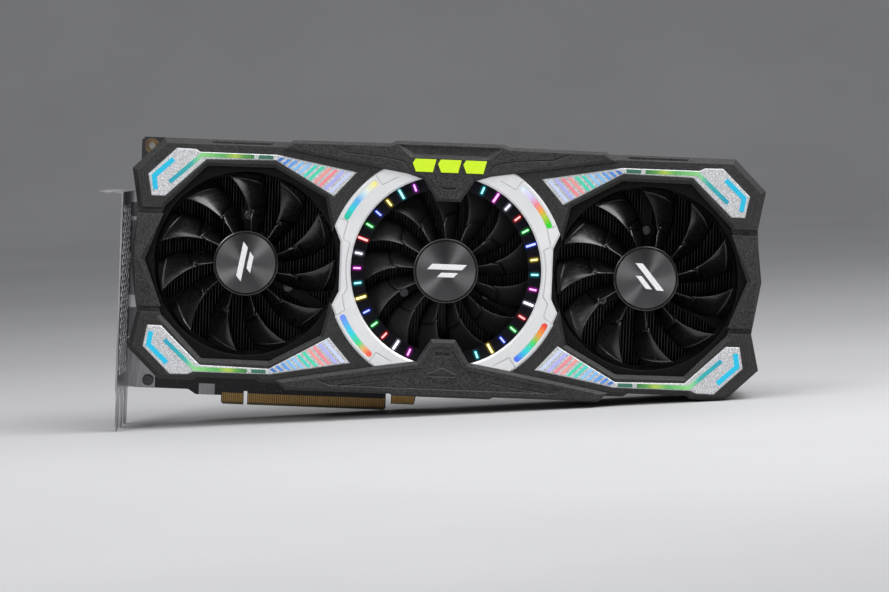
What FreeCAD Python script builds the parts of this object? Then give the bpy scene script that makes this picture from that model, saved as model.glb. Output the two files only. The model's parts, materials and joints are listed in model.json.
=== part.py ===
import FreeCAD, Part
import math
import os

# Triple-fan graphics card. Millimetres.
# X runs along the card, Z is up, and the fans face -Y. While modelling, the middle fan's axis is at
# X = 0, Z = 0 and the component side of the circuit board is at Y = 0. The export moves the origin to
# the middle of the long edge tongue's bottom face.

# ---- driving dimensions: depths along Y, front to back ----
Y_BRIDGE = -55.0
Y_RING = -53.2
Y_FRAME = -52.0
Y_POCKET = -50.4
Y_STRAP = -49.5
Y_BRACE_RIDGE = -53.6
Y_BRACE_END = -51.4
Y_DECK = -48.0
Y_DECK_BACK = -45.5
Y_HOOD = -38.0
Y_ROTOR_FRONT = -46.0
Y_ROTOR_BACK = -33.5
Y_WELL_BACK = -31.5
Y_BASE_BACK = -29.5
Y_FIN_FRONT = -28.8
Y_FIN_BASE = -14.0
Y_SKIRT = -17.0
Y_PIPE_FRONT = -13.0
Y_PIPE_BACK = -7.0
Y_MIDPLATE_FRONT = -4.2
Y_MIDPLATE_BACK = -2.7
Y_DIE = -2.1
BOARD_T = 1.57
Y_PLATE_FRONT = 3.4
Y_PLATE_BACK = 4.8

# ---- driving dimensions: plan ----
FAN_PITCH = 100.5
WALL_T = 1.8
WELL_R = 46.2
WELL_OUTER_R = 47.5
TIP_R = 44.7
HUB_R = 16.0
CUP_INNER_R = 14.0
CAP_R = 15.5
STATOR_R = 12.6
SHAFT_R = 1.5
BEARING_CLEARANCE = 0.05
OUTER_BLADES = 11
MIDDLE_BLADES = 13
OUTER_SWEEP = 20.0
OUTER_SWEEP_POWER = 1.3
MIDDLE_SWEEP = 16.0
MIDDLE_SWEEP_POWER = 1.9
BLADE_HALF_SPAN_ROOT = 6.0
BLADE_HALF_SPAN_TIP = 9.0
BLADE_T = 1.3
ARM_ANGLES = (90, 210, 330)
LUG_R = 24.0
LIGHT_RING_INNER_R = 41.2
RING_INNER_R = 47.7
RING_OUTER_R = 60.0
LAMP_R = 56.4
LAMP_HALF_WIDTH = 1.5
LAMPS = ((142.2, 22.0), (217.7, 23.0), (-37.8, 22.0), (37.7, 23.0))
TICKS_PER_SIDE = 15
TICK_STEP = 9.66
TICK_R = 44.5
FIRST_TICK = 67.6
FIN_PITCH = 1.5
FIN_T = 0.4
BOARD_TOP = 61.5
BOARD_LEFT = -159.0
BOARD_RIGHT = 104.0
EDGE_BOTTOM = -75.0
HOOK_BOTTOM = -71.6
EDGE_BEVEL = 1.2
EDGE_LONG_LEFT = -100.2
EDGE_LONG_RIGHT = -28.55
KEY_WIDTH = 1.9
EDGE_SHORT_LEFT = EDGE_LONG_LEFT - KEY_WIDTH - 11.65
BRACKET_X = -163.0
BRACKET_T = 0.86
BRACKET_TOP = 33.6
BRACKET_WIDTH = 59.06
BRACKET_HEIGHT = 120.02
BRACKET_BACK = 3.4
BRACKET_EARS = (24.0, -64.0)
EAR_LENGTH = 14.0
SLOT_PITCH = 20.32
TAB_LENGTH = 11.43
HDMI_Z = -34.0
DISPLAY_PORT_Z = (-51.3, -11.5, 10.0)
CORNER_HOLE_X = -153.8
CORNER_HOLE_Z = 57.0
CORNER_HOLE_R = 1.6

ORIGIN_X = (EDGE_LONG_LEFT + EDGE_LONG_RIGHT) / 2.0
ORIGIN_Y = BOARD_T / 2.0
ORIGIN_Z = EDGE_BOTTOM

# ---- outlines, as (x, z) points of the right half, or of one quarter ----
FRAME_OUTLINE = [(22, 61.6), (142.6, 61.6), (158.6, 45.8), (155.3, 26.8), (157.2, 0.4),
                 (154.2, -25.9), (158.4, -43.9), (142.3, -59.5), (125, -59.5), (122.6, -57.9),
                 (93.4, -57.9), (90.9, -59.5), (22, -59.5)]
FRAME_RECESS = [(86.0, 63.0), (89.4, 59.4), (118.6, 59.4), (122.2, 63.0)]
BODY_OUTLINE = [(142.2, 59.4), (157.0, 45.0), (154.0, 26.8), (156.0, 0.4), (153.0, -25.9),
                (157.0, -43.4), (141.8, -58.0), (-141.8, -58.0), (-157.0, -43.4), (-153.0, -25.9),
                (-156.0, 0.4), (-154.0, 26.8), (-157.0, 45.0), (-142.2, 59.4)]
FAN_OPENING = [(151.5, 0.5), (142, 27), (121, 48.3), (87, 48.5), (61.5, 34.5), (53.5, 0),
               (61.5, -34.5), (87, -48.5), (121, -48.3), (142, -27)]
BRACE_OUTLINE = [(155, 23.5), (158, 0.4), (154.4, -23), (142, -23), (150.9, 0.4), (142.2, 23.5)]
PANEL_OUTLINE = [(136.4, 56.6), (127.2, 56.4), (124.8, 55.1), (86, 55.0), (46.3, 47.8),
                 (57.3, 35.4), (86.8, 52.2), (121.5, 51.5), (141.6, 32.4), (148.4, 32.4),
                 (150.4, 43.1)]
RING_WAIST = [(62, 59.4), (62, 26), (56.5, 20.8), (53.2, 13), (53.2, -12), (56.6, -19),
              (54.4, -24.5), (62, -30), (62, -59.4)]
TOP_BRIDGE = [(83.3, 58.2), (78, 62.7), (29.8, 63.1), (26.8, 64.4), (-26.8, 64.4), (-29.8, 63.1),
              (-78, 62.7), (-83.3, 58.2), (-21, 48.3), (-12.7, 45.6), (-6, 35), (6, 35),
              (12.7, 45.6), (21, 48.3)]
BOTTOM_BRIDGE = [(83.3, -57.6), (78.3, -62.2), (26, -62.2), (24, -63.2), (-24, -63.2),
                 (-26, -62.2), (-78.3, -62.2), (-83.3, -57.6), (-31.5, -48.4), (-13.2, -45.5),
                 (-6, -34), (6, -34), (13.2, -45.5), (31.5, -48.4)]
BADGE_BLOCK_CENTRES = (-12.6, 0.0, 12.6)

# ---- posts and screws, as (x, z) places ----
POST_R = 2.2
SHROUD_POSTS = ((152.0, 42.0, Y_PLATE_FRONT), (152.0, -40.0, Y_PLATE_FRONT), (-152.0, 42.0, 0.0),
                (-143.5, -50.0, 0.0))
SHROUD_WEBS = (((152.0, 42.0), (155.4, 41.4)), ((152.0, -40.0), (154.9, -39.3)),
               ((-152.0, 42.0), (-155.4, 41.4)), ((-143.5, -50.0), (-145.9, -52.5)))
PLATE_SCREWS = ((-152, 42), (-143.5, -50), (-32, 40), (32, 40), (-32, -40), (32, -40), (98, 52),
                (98, -52))
END_SCREWS = ((152, 42), (152, -40))


# ---- helpers ----
def wire(points, y):
    """Closed flat wire through (x, z) points at depth y."""
    corners = [FreeCAD.Vector(x, y, z) for x, z in points]
    return Part.makePolygon(corners + corners[:1])


def prism(points, y_front, y_back):
    """Straight plate between two depths."""
    face = Part.Face(wire(points, y_front))
    return face.extrude(FreeCAD.Vector(0, y_back - y_front, 0))


def side_normal(start, end):
    """Unit vector to the right of the side from start to end."""
    dx = end[0] - start[0]
    dz = end[1] - start[1]
    length = math.hypot(dx, dz)
    return dz / length, -dx / length


def grown(points, distance):
    """The polygon with each side moved outwards by distance, mitred at the corners."""
    pairs = zip(points, points[1:] + points[:1])
    turning = sum(a[0] * b[1] - b[0] * a[1] for a, b in pairs)
    reach = math.copysign(distance, distance * turning)
    result = []
    for i, corner in enumerate(points):
        n1 = side_normal(points[i - 1], corner)
        n2 = side_normal(corner, points[(i + 1) % len(points)])
        scale = reach / (1.0 + n1[0] * n2[0] + n1[1] * n2[1])
        result.append((corner[0] + (n1[0] + n2[0]) * scale, corner[1] + (n1[1] + n2[1]) * scale))
    return result


def slab(points, y_front, y_back, bevel):
    """Plate with a 45 degree bevel all round its front edge."""
    rim = Part.makeLoft([wire(points, y_front + bevel), wire(grown(points, -bevel), y_front)], True, True)
    return prism(points, y_front + bevel, y_back).fuse(rim).removeSplitter()


def flare(points, y_front, y_back, bevel):
    """Cutting tool for a through opening with a bevelled front edge."""
    mouth = Part.makeLoft([wire(points, y_front + bevel), wire(grown(points, bevel), y_front)], True, True)
    lead = prism(grown(points, bevel), y_front - 2.0, y_front)
    return prism(points, y_front, y_back + 1.0).fuse([mouth, lead])


def disc(radius, y_front, y_back, x=0.0, z=0.0):
    """Cylinder along Y."""
    base = FreeCAD.Vector(x, y_front, z)
    return Part.makeCylinder(radius, y_back - y_front, base, FreeCAD.Vector(0, 1, 0))


def tube(outer, inner, y_front, y_back, x=0.0, z=0.0):
    """Hollow cylinder along Y."""
    return disc(outer, y_front, y_back, x, z).cut(disc(inner, y_front - 1, y_back + 1, x, z))


def block(x0, x1, y0, y1, z0, z1):
    """Box between two corners."""
    return Part.makeBox(x1 - x0, y1 - y0, z1 - z0, FreeCAD.Vector(x0, y0, z0))


def mirror_x(shape):
    """The shape mirrored left to right."""
    return shape.mirror(FreeCAD.Vector(0, 0, 0), FreeCAD.Vector(1, 0, 0))


def mirrored(points, side_x, side_z):
    """Quarter outline moved into the quarter with the given signs."""
    return [(side_x * x, side_z * z) for x, z in points]


def turned(shape, degrees, x=0.0, z=0.0):
    """Copy turned about a Y axis, anticlockwise seen from the front."""
    copy = shape.copy()
    copy.rotate(FreeCAD.Vector(x, 0, z), FreeCAD.Vector(0, 1, 0), -degrees)
    return copy


def moved(shape, x, y, z):
    """Copy moved by a vector."""
    copy = shape.copy()
    copy.translate(FreeCAD.Vector(x, y, z))
    return copy


def strip(start, end, width):
    """Rectangle of a given width along a line, as four (x, z) points."""
    nx, nz = side_normal(start, end)
    half = width / 2.0
    return [(start[0] + nx * half, start[1] + nz * half), (end[0] + nx * half, end[1] + nz * half),
            (end[0] - nx * half, end[1] - nz * half), (start[0] - nx * half, start[1] - nz * half)]


def grooves(lines, y_front, width, depth):
    """Cutting tools for engraved lines, each a chain of (x, z) points."""
    tools = []
    for line in lines:
        for start, end in zip(line, line[1:]):
            tools.append(prism(strip(start, end, width), y_front - 1.0, y_front + depth))
    return tools


def both_sides(lines):
    """Chains of points and their mirror images."""
    return lines + [[(-x, z) for x, z in line] for line in lines]


def polar(radius, degrees):
    """Point (x, z) at a radius and angle about the middle fan's axis."""
    angle = math.radians(degrees)
    return radius * math.cos(angle), radius * math.sin(angle)


# ---- shroud ----
def shroud_deck():
    """Front deck with an opening over each fan."""
    deck = prism(BODY_OUTLINE, Y_DECK, Y_DECK_BACK)
    return deck.cut([disc(WELL_R, Y_DECK - 1, Y_DECK_BACK + 1, x) for x in (-FAN_PITCH, 0, FAN_PITCH)])


def shroud_walls():
    """Walls beside the fins, deeper past the board's end, with four screw posts webbed to them."""
    inside = grown(BODY_OUTLINE, -WALL_T)
    wall = prism(BODY_OUTLINE, Y_DECK_BACK, Y_SKIRT).cut(prism(inside, Y_DECK_BACK - 1, Y_SKIRT + 1))
    core = prism(inside, Y_SKIRT - 1, Y_PLATE_FRONT + 1)
    end_wall = prism(BODY_OUTLINE, Y_SKIRT, Y_PLATE_FRONT).cut(core)
    end_wall = end_wall.common(block(BOARD_RIGHT + 2, 170, Y_SKIRT, Y_PLATE_FRONT, -70, 70))
    posts = [disc(POST_R, Y_DECK_BACK, y_back, x, z) for x, z, y_back in SHROUD_POSTS]
    webs = [prism(strip(post, end, 1.6), Y_DECK_BACK, Y_SKIRT) for post, end in SHROUD_WEBS]
    vents = []
    for x in range(-126, 127, 14):
        for side in (-1, 1):
            vents.append(block(x - 4.5, x + 4.5, -38, -24, side * 58.5 - 3, side * 58.5 + 3))
    return wall.fuse([end_wall] + posts + webs).cut(vents).removeSplitter()


def frame_right():
    """Front frame round the right fan, stepped down where the side brace lies."""
    plate = slab(FRAME_OUTLINE, Y_FRAME, Y_DECK, 2.6)
    recess = prism(FRAME_RECESS, Y_FRAME - 1, Y_FRAME + 1.8)
    step = block(139, 160, Y_FRAME - 1, Y_STRAP, -25.9, 26.8)
    ring_room = disc(RING_OUTER_R + 0.15, Y_FRAME - 1, Y_DECK + 1)
    opening = flare(FAN_OPENING, Y_FRAME, Y_DECK, 1.8)
    pockets = []
    for side in (-1, 1):
        points = mirrored(PANEL_OUTLINE, 1, side)
        pockets.append(prism(grown(points, 0.15), Y_FRAME - 1, Y_POCKET))
    seams = grooves([[(126, -56.9), (123.4, -56.2), (90, -56.1)],
                     [(152.4, 43.9), (150.0, 30.5)], [(152.4, -43.9), (150.0, -30.5)]], Y_FRAME, 0.5, 0.5)
    body = plate.cut([recess, step, ring_room, opening] + pockets + seams)
    return max(body.Solids, key=lambda solid: solid.Volume)


def side_brace_right():
    """Chevron brace over the outer end of the right frame, with two faces that meet in a level ridge."""
    brace = slab(BRACE_OUTLINE, Y_BRACE_RIDGE, Y_STRAP, 2.2)
    profile = [(Y_STRAP, -24), (Y_BRACE_END, -24), (Y_BRACE_RIDGE, 0.4), (Y_BRACE_END, 24.5),
               (Y_STRAP, 24.5)]
    points = [FreeCAD.Vector(130, y, z) for y, z in profile]
    roof = Part.Face(Part.makePolygon(points + points[:1])).extrude(FreeCAD.Vector(40, 0, 0))
    return brace.common(roof)


def bridge_hood(z_frame, z_wall, z_edge):
    """Return lip of a bridge, which wraps over the frames' edges and rests on the shroud's long wall."""
    half_length = 76.0
    low, high = sorted((z_frame, z_edge))
    lip = block(-half_length, half_length, Y_FRAME, Y_DECK, low, high)
    low, high = sorted((z_wall, z_edge))
    return lip.fuse(block(-half_length, half_length, Y_DECK, Y_HOOD, low, high))


def top_bridge():
    """Upper cross piece, with a tray along its top edge, a nose and a slot."""
    plate = slab(TOP_BRIDGE, Y_BRIDGE, Y_FRAME, 1.5)
    hood = bridge_hood(61.65, 59.4, 62.6)
    tray_mouth = [(26.4, 62.4), (19.8, 56.4), (-19.8, 56.4), (-26.4, 62.4)]
    tray_floor = [(22.8, 62.2), (18.4, 58.0), (-18.4, 58.0), (-22.8, 62.2)]
    tray = Part.makeLoft([wire(tray_mouth, Y_BRIDGE), wire(tray_floor, Y_BRIDGE + 1.3)], True, True)
    slot = prism([(-4, 42.1), (4, 42.1), (3, 40.9), (-3, 40.9)], Y_BRIDGE - 1, Y_BRIDGE + 1.2)
    seams = grooves(both_sides([[(60, 60.9), (52, 57.6), (33, 56.2), (22.5, 54.2), (19.0, 49.4)]]),
                    Y_BRIDGE, 0.7, 0.7)
    return plate.fuse(hood).cut([tray, slot] + seams)


def raised_lozenge(floor):
    """Plain moulded lozenge in two halves, standing on a floor."""
    upper = [(-7.5, -51.6), (0, -48.2), (7.5, -51.6)]
    lower = [(-7.5, -52.6), (7.5, -52.6), (0, -56.0)]
    return [slab(points, floor - 0.6, floor, 0.25) for points in (upper, lower)]


def bottom_bridge():
    """Lower cross piece, with a raised rim, a nose, a slot and a moulded lozenge."""
    plate = slab(BOTTOM_BRIDGE, Y_BRIDGE, Y_FRAME, 1.5)
    hood = bridge_hood(-59.55, -58.0, -61.8)
    floor = [(62, -56.8), (30, -52.0), (11.2, -48.4), (4.6, -37.6), (-4.6, -37.6), (-11.2, -48.4),
             (-30, -52.0), (-62, -56.8), (-56, -59.2), (56, -59.2)]
    sunk = prism(floor, Y_BRIDGE - 1, Y_BRIDGE + 0.8)
    slot = prism([(-4.1, -40.4), (4.1, -40.4), (3.3, -42.4), (-3.3, -42.4)], Y_BRIDGE - 1, Y_BRIDGE + 2.0)
    seams = grooves(both_sides([[(52, -59), (33, -56.5), (22, -54.6), (15, -58.8)]]), Y_BRIDGE, 0.6, 1.4)
    return plate.fuse(hood).cut([sunk, slot] + seams).fuse(raised_lozenge(Y_BRIDGE + 0.8))


def center_ring():
    """Silver ring round the middle fan, let in under both bridges."""
    ring = tube(RING_OUTER_R, RING_INNER_R, Y_RING, Y_DECK)
    waist = RING_WAIST + [(-x, z) for x, z in reversed(RING_WAIST)]
    ring = ring.common(slab(waist, Y_RING, Y_DECK, 1.0))
    depth = 0.9
    inner = Part.makeCone(RING_INNER_R + depth, RING_INNER_R, depth, FreeCAD.Vector(0, Y_RING, 0),
                          FreeCAD.Vector(0, 1, 0))
    outer = tube(RING_OUTER_R + 3, RING_OUTER_R - depth, Y_RING, Y_RING + depth).cut(
        Part.makeCone(RING_OUTER_R - depth, RING_OUTER_R, depth, FreeCAD.Vector(0, Y_RING, 0),
                      FreeCAD.Vector(0, 1, 0)))
    bridges = [prism(grown(points, 0.1), Y_RING - 1, Y_FRAME) for points in (TOP_BRIDGE, BOTTOM_BRIDGE)]
    lines = []
    for side in (-1, 1):
        lines.append([polar(60.5, side * 52.0), polar(53.6, side * 51.5), polar(52.8, side * 61.0)])
    arc = [polar(49.9, angle) for angle in range(-12, 15, 2)]
    lines.append([polar(60.5, -24.6), polar(54.0, -23.0), polar(53.4, -15.6)] + arc
                 + [polar(53.9, 15.3), polar(55.0, 25.2), polar(60.5, 24.2)])
    tools = grooves(both_sides(lines), Y_RING, 0.55, 0.6)
    lamps = [lamp_solid(middle, span, Y_RING - 1, Y_RING + 0.6) for middle, span in LAMPS]
    return ring.cut([inner, outer] + bridges + tools + lamps)


def lamp_solid(middle, span, y_front, y_back):
    """Pill-shaped arc lamp on the ring, centred at an angle."""
    band = tube(LAMP_R + LAMP_HALF_WIDTH, LAMP_R - LAMP_HALF_WIDTH, y_front, y_back)
    low = middle - span / 2.0
    high = middle + span / 2.0
    wedge = prism([(0, 0), polar(90, low), polar(90, middle), polar(90, high)], y_front, y_back)
    ends = []
    for angle in (low, high):
        x, z = polar(LAMP_R, angle)
        ends.append(disc(LAMP_HALF_WIDTH, y_front, y_back, x, z))
    return band.common(wedge).fuse(ends).removeSplitter()


def ring_lamps():
    """Four lamps let into the silver ring."""
    return [lamp_solid(middle, span, Y_RING - 0.15, Y_RING + 0.6) for middle, span in LAMPS]


def led_ring():
    """Dark translucent ring inside the silver one."""
    return tube(RING_INNER_R, LIGHT_RING_INNER_R, Y_FRAME + 0.4, Y_DECK)


def led_ticks():
    """Thirty radial light bars standing 0.15 mm proud of the dark ring, every fourth one larger."""
    ticks = []
    for i in range(TICKS_PER_SIDE):
        large = i % 4 == 1
        length = 5.0 if large else 3.5
        width = 1.5 if large else 1.1
        bar = block(TICK_R - length / 2, TICK_R + length / 2, Y_FRAME + 0.25, Y_FRAME + 0.4,
                    -width / 2, width / 2)
        bar = turned(bar, FIRST_TICK - i * TICK_STEP)
        ticks += [bar, mirror_x(bar)]
    return ticks


def light_panel(side_x, side_z):
    """Corner light panel, let into the frame's pocket."""
    return slab(mirrored(PANEL_OUTLINE, side_x, side_z), Y_FRAME - 0.3, Y_POCKET, 0.4)


def bend(points, width):
    """Outline of an open chain of points given a width, with mitred corners."""
    left = []
    right = []
    last = len(points) - 1
    for i, point in enumerate(points):
        n1 = side_normal(points[max(i - 1, 0)], points[max(i, 1)])
        n2 = side_normal(points[min(i, last - 1)], points[min(i + 1, last)])
        scale = width / 2.0 / (1.0 + n1[0] * n2[0] + n1[1] * n2[1])
        dx = (n1[0] + n2[0]) * scale
        dz = (n1[1] + n2[1]) * scale
        left.append((point[0] + dx, point[1] + dz))
        right.append((point[0] - dx, point[1] - dz))
    return left + right[::-1]


def ladder_bars():
    """Slanted bars that fill the tapering inner end of a panel, parallel to its end."""
    bars = []
    count = 11
    top_outer, top_inner = (85.0, 54.0), (49.0, 47.5)
    low_outer, low_inner = (87.5, 52.9), (59.0, 37.0)
    for i in range(count):
        near = (i + 0.18) / count
        far = (i + 0.80) / count
        corners = []
        for share, start, end in ((near, top_outer, top_inner), (far, top_outer, top_inner),
                                  (far, low_outer, low_inner), (near, low_outer, low_inner)):
            corners.append((start[0] + (end[0] - start[0]) * share, start[1] + (end[1] - start[1]) * share))
        bars.append(corners)
    return bars


def light_strips(side_x, side_z):
    """Corner strip, long strip, short strip and ladder bars on one panel."""
    outlines = [bend([(138, 51), (147.4, 42.2), (146.4, 35.6)], 2.0),
                bend([(139.5, 39.5), (123.9, 53.6), (97.8, 53.6)], 1.9),
                bend([(95.5, 53.6), (88.3, 53.6)], 1.9)] + ladder_bars()
    front = Y_FRAME - 0.3
    return [prism(mirrored(points, side_x, side_z), front - 0.3, front) for points in outlines]


def top_badge():
    """Three plain lit slanted blocks in place of any lettering."""
    blocks = []
    for centre in BADGE_BLOCK_CENTRES:
        points = [(centre - 4.2, 49.4), (centre + 4.2, 49.4), (centre + 5.8, 55.8), (centre - 4.6, 55.8),
                  (centre - 5.9, 53.6)]
        blocks.append(slab(points, Y_BRIDGE - 0.8, Y_BRIDGE, 0.3))
    return blocks


# ---- fans ----
def blade_section(radius, lead, span, y_lead, y_trail):
    """Thin slanted section of a blade at one radius, clockwise from its leading edge."""
    corners = []
    trail = lead - span
    for angle, y in ((lead, y_lead), (lead, y_lead + BLADE_T), (trail, y_trail), (trail, y_trail - BLADE_T)):
        x, z = polar(radius, angle)
        corners.append(FreeCAD.Vector(x, y, z))
    return Part.makePolygon(corners + corners[:1])


def blade_shape(sweep, power):
    """One blade, swept anticlockwise outwards."""
    sections = []
    for share in (0.0, 0.35, 0.7, 1.0):
        radius = HUB_R - 0.5 + share * (TIP_R - HUB_R + 0.5)
        span = 2.0 * (BLADE_HALF_SPAN_ROOT + (BLADE_HALF_SPAN_TIP - BLADE_HALF_SPAN_ROOT) * share)
        sections.append(blade_section(radius, sweep * share ** power, span, -44.8 + 0.8 * share,
                                      -34.6 - 1.4 * share))
    return Part.makeLoft(sections, True, False)


def impeller(x, blades, sweep, power, first):
    """Hub cup with swept, pitched blades; first is the angle of one leading edge at the hub."""
    cup = disc(HUB_R, Y_ROTOR_FRONT, Y_ROTOR_BACK)
    room = disc(CUP_INNER_R, Y_ROTOR_FRONT + 1.6, Y_ROTOR_BACK + 1)
    bore = disc(SHAFT_R, Y_ROTOR_FRONT + 0.6, Y_ROTOR_BACK)
    boss = disc(3.2, Y_ROTOR_FRONT + 1.0, Y_ROTOR_FRONT + 2.4)
    hub = cup.cut(room).fuse(boss).cut(bore)
    blade = blade_shape(sweep, power)
    ring = [turned(blade, first + i * 360.0 / blades) for i in range(blades)]
    return moved(hub.fuse(ring), x, 0, 0)


def hub_cap(x):
    """Spun metal cap with a bevelled rim."""
    cap = disc(CAP_R, Y_ROTOR_FRONT - 1.0, Y_ROTOR_FRONT, x)
    rim = [edge for edge in cap.Edges if abs(edge.CenterOfMass.y - Y_ROTOR_FRONT + 1.0) < 0.01]
    return cap.makeChamfer(0.5, rim)


def hub_mark(x, degrees):
    """Plain mark of two slanted bars on a hub cap."""
    front = Y_ROTOR_FRONT - 1.0
    bars = [[(-9.5, 0.6), (8.0, 0.6), (10.5, 3.4), (-7.0, 3.4)],
            [(-4.5, -3.2), (4.0, -3.2), (6.2, -0.9), (-2.3, -0.9)]]
    return [moved(turned(prism(points, front - 0.25, front), degrees), x, 0, 0) for points in bars]


def fan_motor(x):
    """Stator with a bearing bore."""
    stator = disc(STATOR_R, -42.8, Y_WELL_BACK, x)
    neck = disc(5.0, -43.0, -42.8, x)
    bore = disc(SHAFT_R + BEARING_CLEARANCE, -44, Y_WELL_BACK + 0.1, x)
    slots = []
    for i in range(6):
        slot = block(8.0, 14.0, -41.5, -33.5, -1.1, 1.1)
        slots.append(moved(turned(slot, 30 + 60 * i), x, 0, 0))
    return stator.fuse(neck).cut([bore] + slots)


def fan_shaft(x):
    """Shaft pressed into the hub and running in the motor's bearing."""
    return disc(SHAFT_R, Y_ROTOR_FRONT + 0.6, Y_WELL_BACK - 0.3, x)


def fan_housing(x):
    """Round well with a rear rim, and three arms that carry the motor on a disc."""
    well = tube(WELL_OUTER_R, WELL_R, Y_DECK_BACK, Y_BASE_BACK)
    rim = tube(WELL_R, WELL_R - 1.2, Y_WELL_BACK, Y_BASE_BACK)
    seat = disc(17.0, Y_WELL_BACK, Y_BASE_BACK)
    carriers = []
    for angle in ARM_ANGLES:
        carriers.append(turned(block(14, WELL_R, Y_WELL_BACK, Y_BASE_BACK, -2.6, 2.6), angle))
        lug_x, lug_z = polar(LUG_R, angle)
        carriers.append(disc(4.2, Y_WELL_BACK, Y_BASE_BACK, lug_x, lug_z))
    return moved(well.fuse([rim, seat] + carriers).removeSplitter(), x, 0, 0)


def fan_screws():
    """Domed screw heads on the lugs of the fan housings."""
    heads = []
    for x in (-FAN_PITCH, 0, FAN_PITCH):
        for angle in ARM_ANGLES:
            lug_x, lug_z = polar(LUG_R, angle)
            head = disc(2.6, Y_WELL_BACK - 1.3, Y_WELL_BACK, x + lug_x, lug_z)
            front = [edge for edge in head.Edges if abs(edge.CenterOfMass.y - Y_WELL_BACK + 1.3) < 0.01]
            heads.append(head.makeFillet(0.6, front))
    return heads


# ---- cooling ----
def fin_stack(x_start, x_end, z_half):
    """Comb of thin upright fins on a common base sheet."""
    count = int((x_end - x_start - FIN_T) / FIN_PITCH)
    base_back = Y_PIPE_FRONT
    corners = [(x_start, base_back)]
    for i in range(count + 1):
        x = x_start + i * FIN_PITCH
        corners += [(x, Y_FIN_BASE), (x, Y_FIN_FRONT), (x + FIN_T, Y_FIN_FRONT), (x + FIN_T, Y_FIN_BASE)]
    corners.append((x_start + count * FIN_PITCH + FIN_T, base_back))
    corners.pop(1)
    corners.pop(-2)
    points = [FreeCAD.Vector(x, y, -z_half) for x, y in corners]
    face = Part.Face(Part.makePolygon(points + points[:1]))
    comb = face.extrude(FreeCAD.Vector(0, 0, 2 * z_half))
    if max(abs(x_start), abs(x_end)) < FAN_PITCH:
        return comb
    posts = [disc(POST_R + 0.8, Y_DECK_BACK, 0.0, x, z) for x, z, y_back in SHROUD_POSTS]
    return comb.common(prism(grown(BODY_OUTLINE, -2.6), Y_DECK_BACK, 0.0)).cut(posts)


def heat_pipes():
    """Six straight pipes with rounded ends under the fins."""
    radius = (Y_PIPE_BACK - Y_PIPE_FRONT) / 2.0
    middle = (Y_PIPE_BACK + Y_PIPE_FRONT) / 2.0
    pipes = []
    for i in range(6):
        z = -32.5 + 13.0 * i
        length = 284.0 - 8.0 * (i % 2)
        start = FreeCAD.Vector(-length / 2, middle, z)
        pipe = Part.makeCylinder(radius, length, start, FreeCAD.Vector(1, 0, 0))
        ends = [edge for edge in pipe.Edges if edge.Curve.TypeId == "Part::GeomCircle"]
        pipes.append(pipe.makeFillet(radius * 0.6, ends))
    return pipes


def cold_plate():
    """Block between the processor and the pipes."""
    return block(-36, 36, Y_PIPE_BACK, Y_DIE, -36, 36)


def midplate():
    """Stiffening plate with a window for the cold plate and others for the tall parts."""
    plate = block(-78, 78, Y_MIDPLATE_FRONT, Y_MIDPLATE_BACK, -52, 54)
    window = block(-37, 37, -6, -1, -37, 37)
    slots = [block(side * 64 - 8, side * 64 + 8, -6, -1, -38, 38) for side in (-1, 1)]
    return plate.cut([window] + slots)


# ---- board ----
def circuit_board():
    """Board with its bevelled edge tongue, key notch, retention hook and mounting hole."""
    hook = [(-25.9, -66.0), (-25.9, HOOK_BOTTOM), (-14.0, HOOK_BOTTOM), (-13.0, HOOK_BOTTOM + 4.6),
            (-19.0, HOOK_BOTTOM + 4.6), (-19.0, -66.0)]
    corner = 1.0
    points = [(BOARD_LEFT, BOARD_TOP - 1.6), (BOARD_LEFT + 1.6, BOARD_TOP), (BOARD_RIGHT, BOARD_TOP),
              (BOARD_RIGHT, -58.0), (-8.0, -58.0), (-8.0, -65.0)] + hook[::-1]
    points += [(EDGE_LONG_RIGHT, -66.0), (EDGE_LONG_RIGHT, EDGE_BOTTOM + corner),
               (EDGE_LONG_RIGHT - corner, EDGE_BOTTOM), (EDGE_LONG_LEFT, EDGE_BOTTOM),
               (EDGE_LONG_LEFT, -68.0), (EDGE_LONG_LEFT - KEY_WIDTH, -68.0),
               (EDGE_LONG_LEFT - KEY_WIDTH, EDGE_BOTTOM),
               (EDGE_SHORT_LEFT + corner, EDGE_BOTTOM), (EDGE_SHORT_LEFT, EDGE_BOTTOM + corner),
               (EDGE_SHORT_LEFT, -70.5), (-127.0, -70.5), (-131.0, -68.0), (BOARD_LEFT, -68.0)]
    board = prism(points, 0.0, BOARD_T)
    hole = disc(CORNER_HOLE_R, -1, BOARD_T + 1, CORNER_HOLE_X, CORNER_HOLE_Z)
    depth = 0.45
    wedges = []
    for face, inward in ((0.0, depth), (BOARD_T, -depth)):
        profile = [(face, EDGE_BOTTOM + EDGE_BEVEL), (face + inward, EDGE_BOTTOM), (face, EDGE_BOTTOM)]
        vectors = [FreeCAD.Vector(EDGE_SHORT_LEFT - 1, y, z) for y, z in profile]
        run = FreeCAD.Vector(EDGE_LONG_RIGHT - EDGE_SHORT_LEFT + 2, 0, 0)
        wedges.append(Part.Face(Part.makePolygon(vectors + vectors[:1])).extrude(run))
    return board.cut([hole] + wedges)


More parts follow.
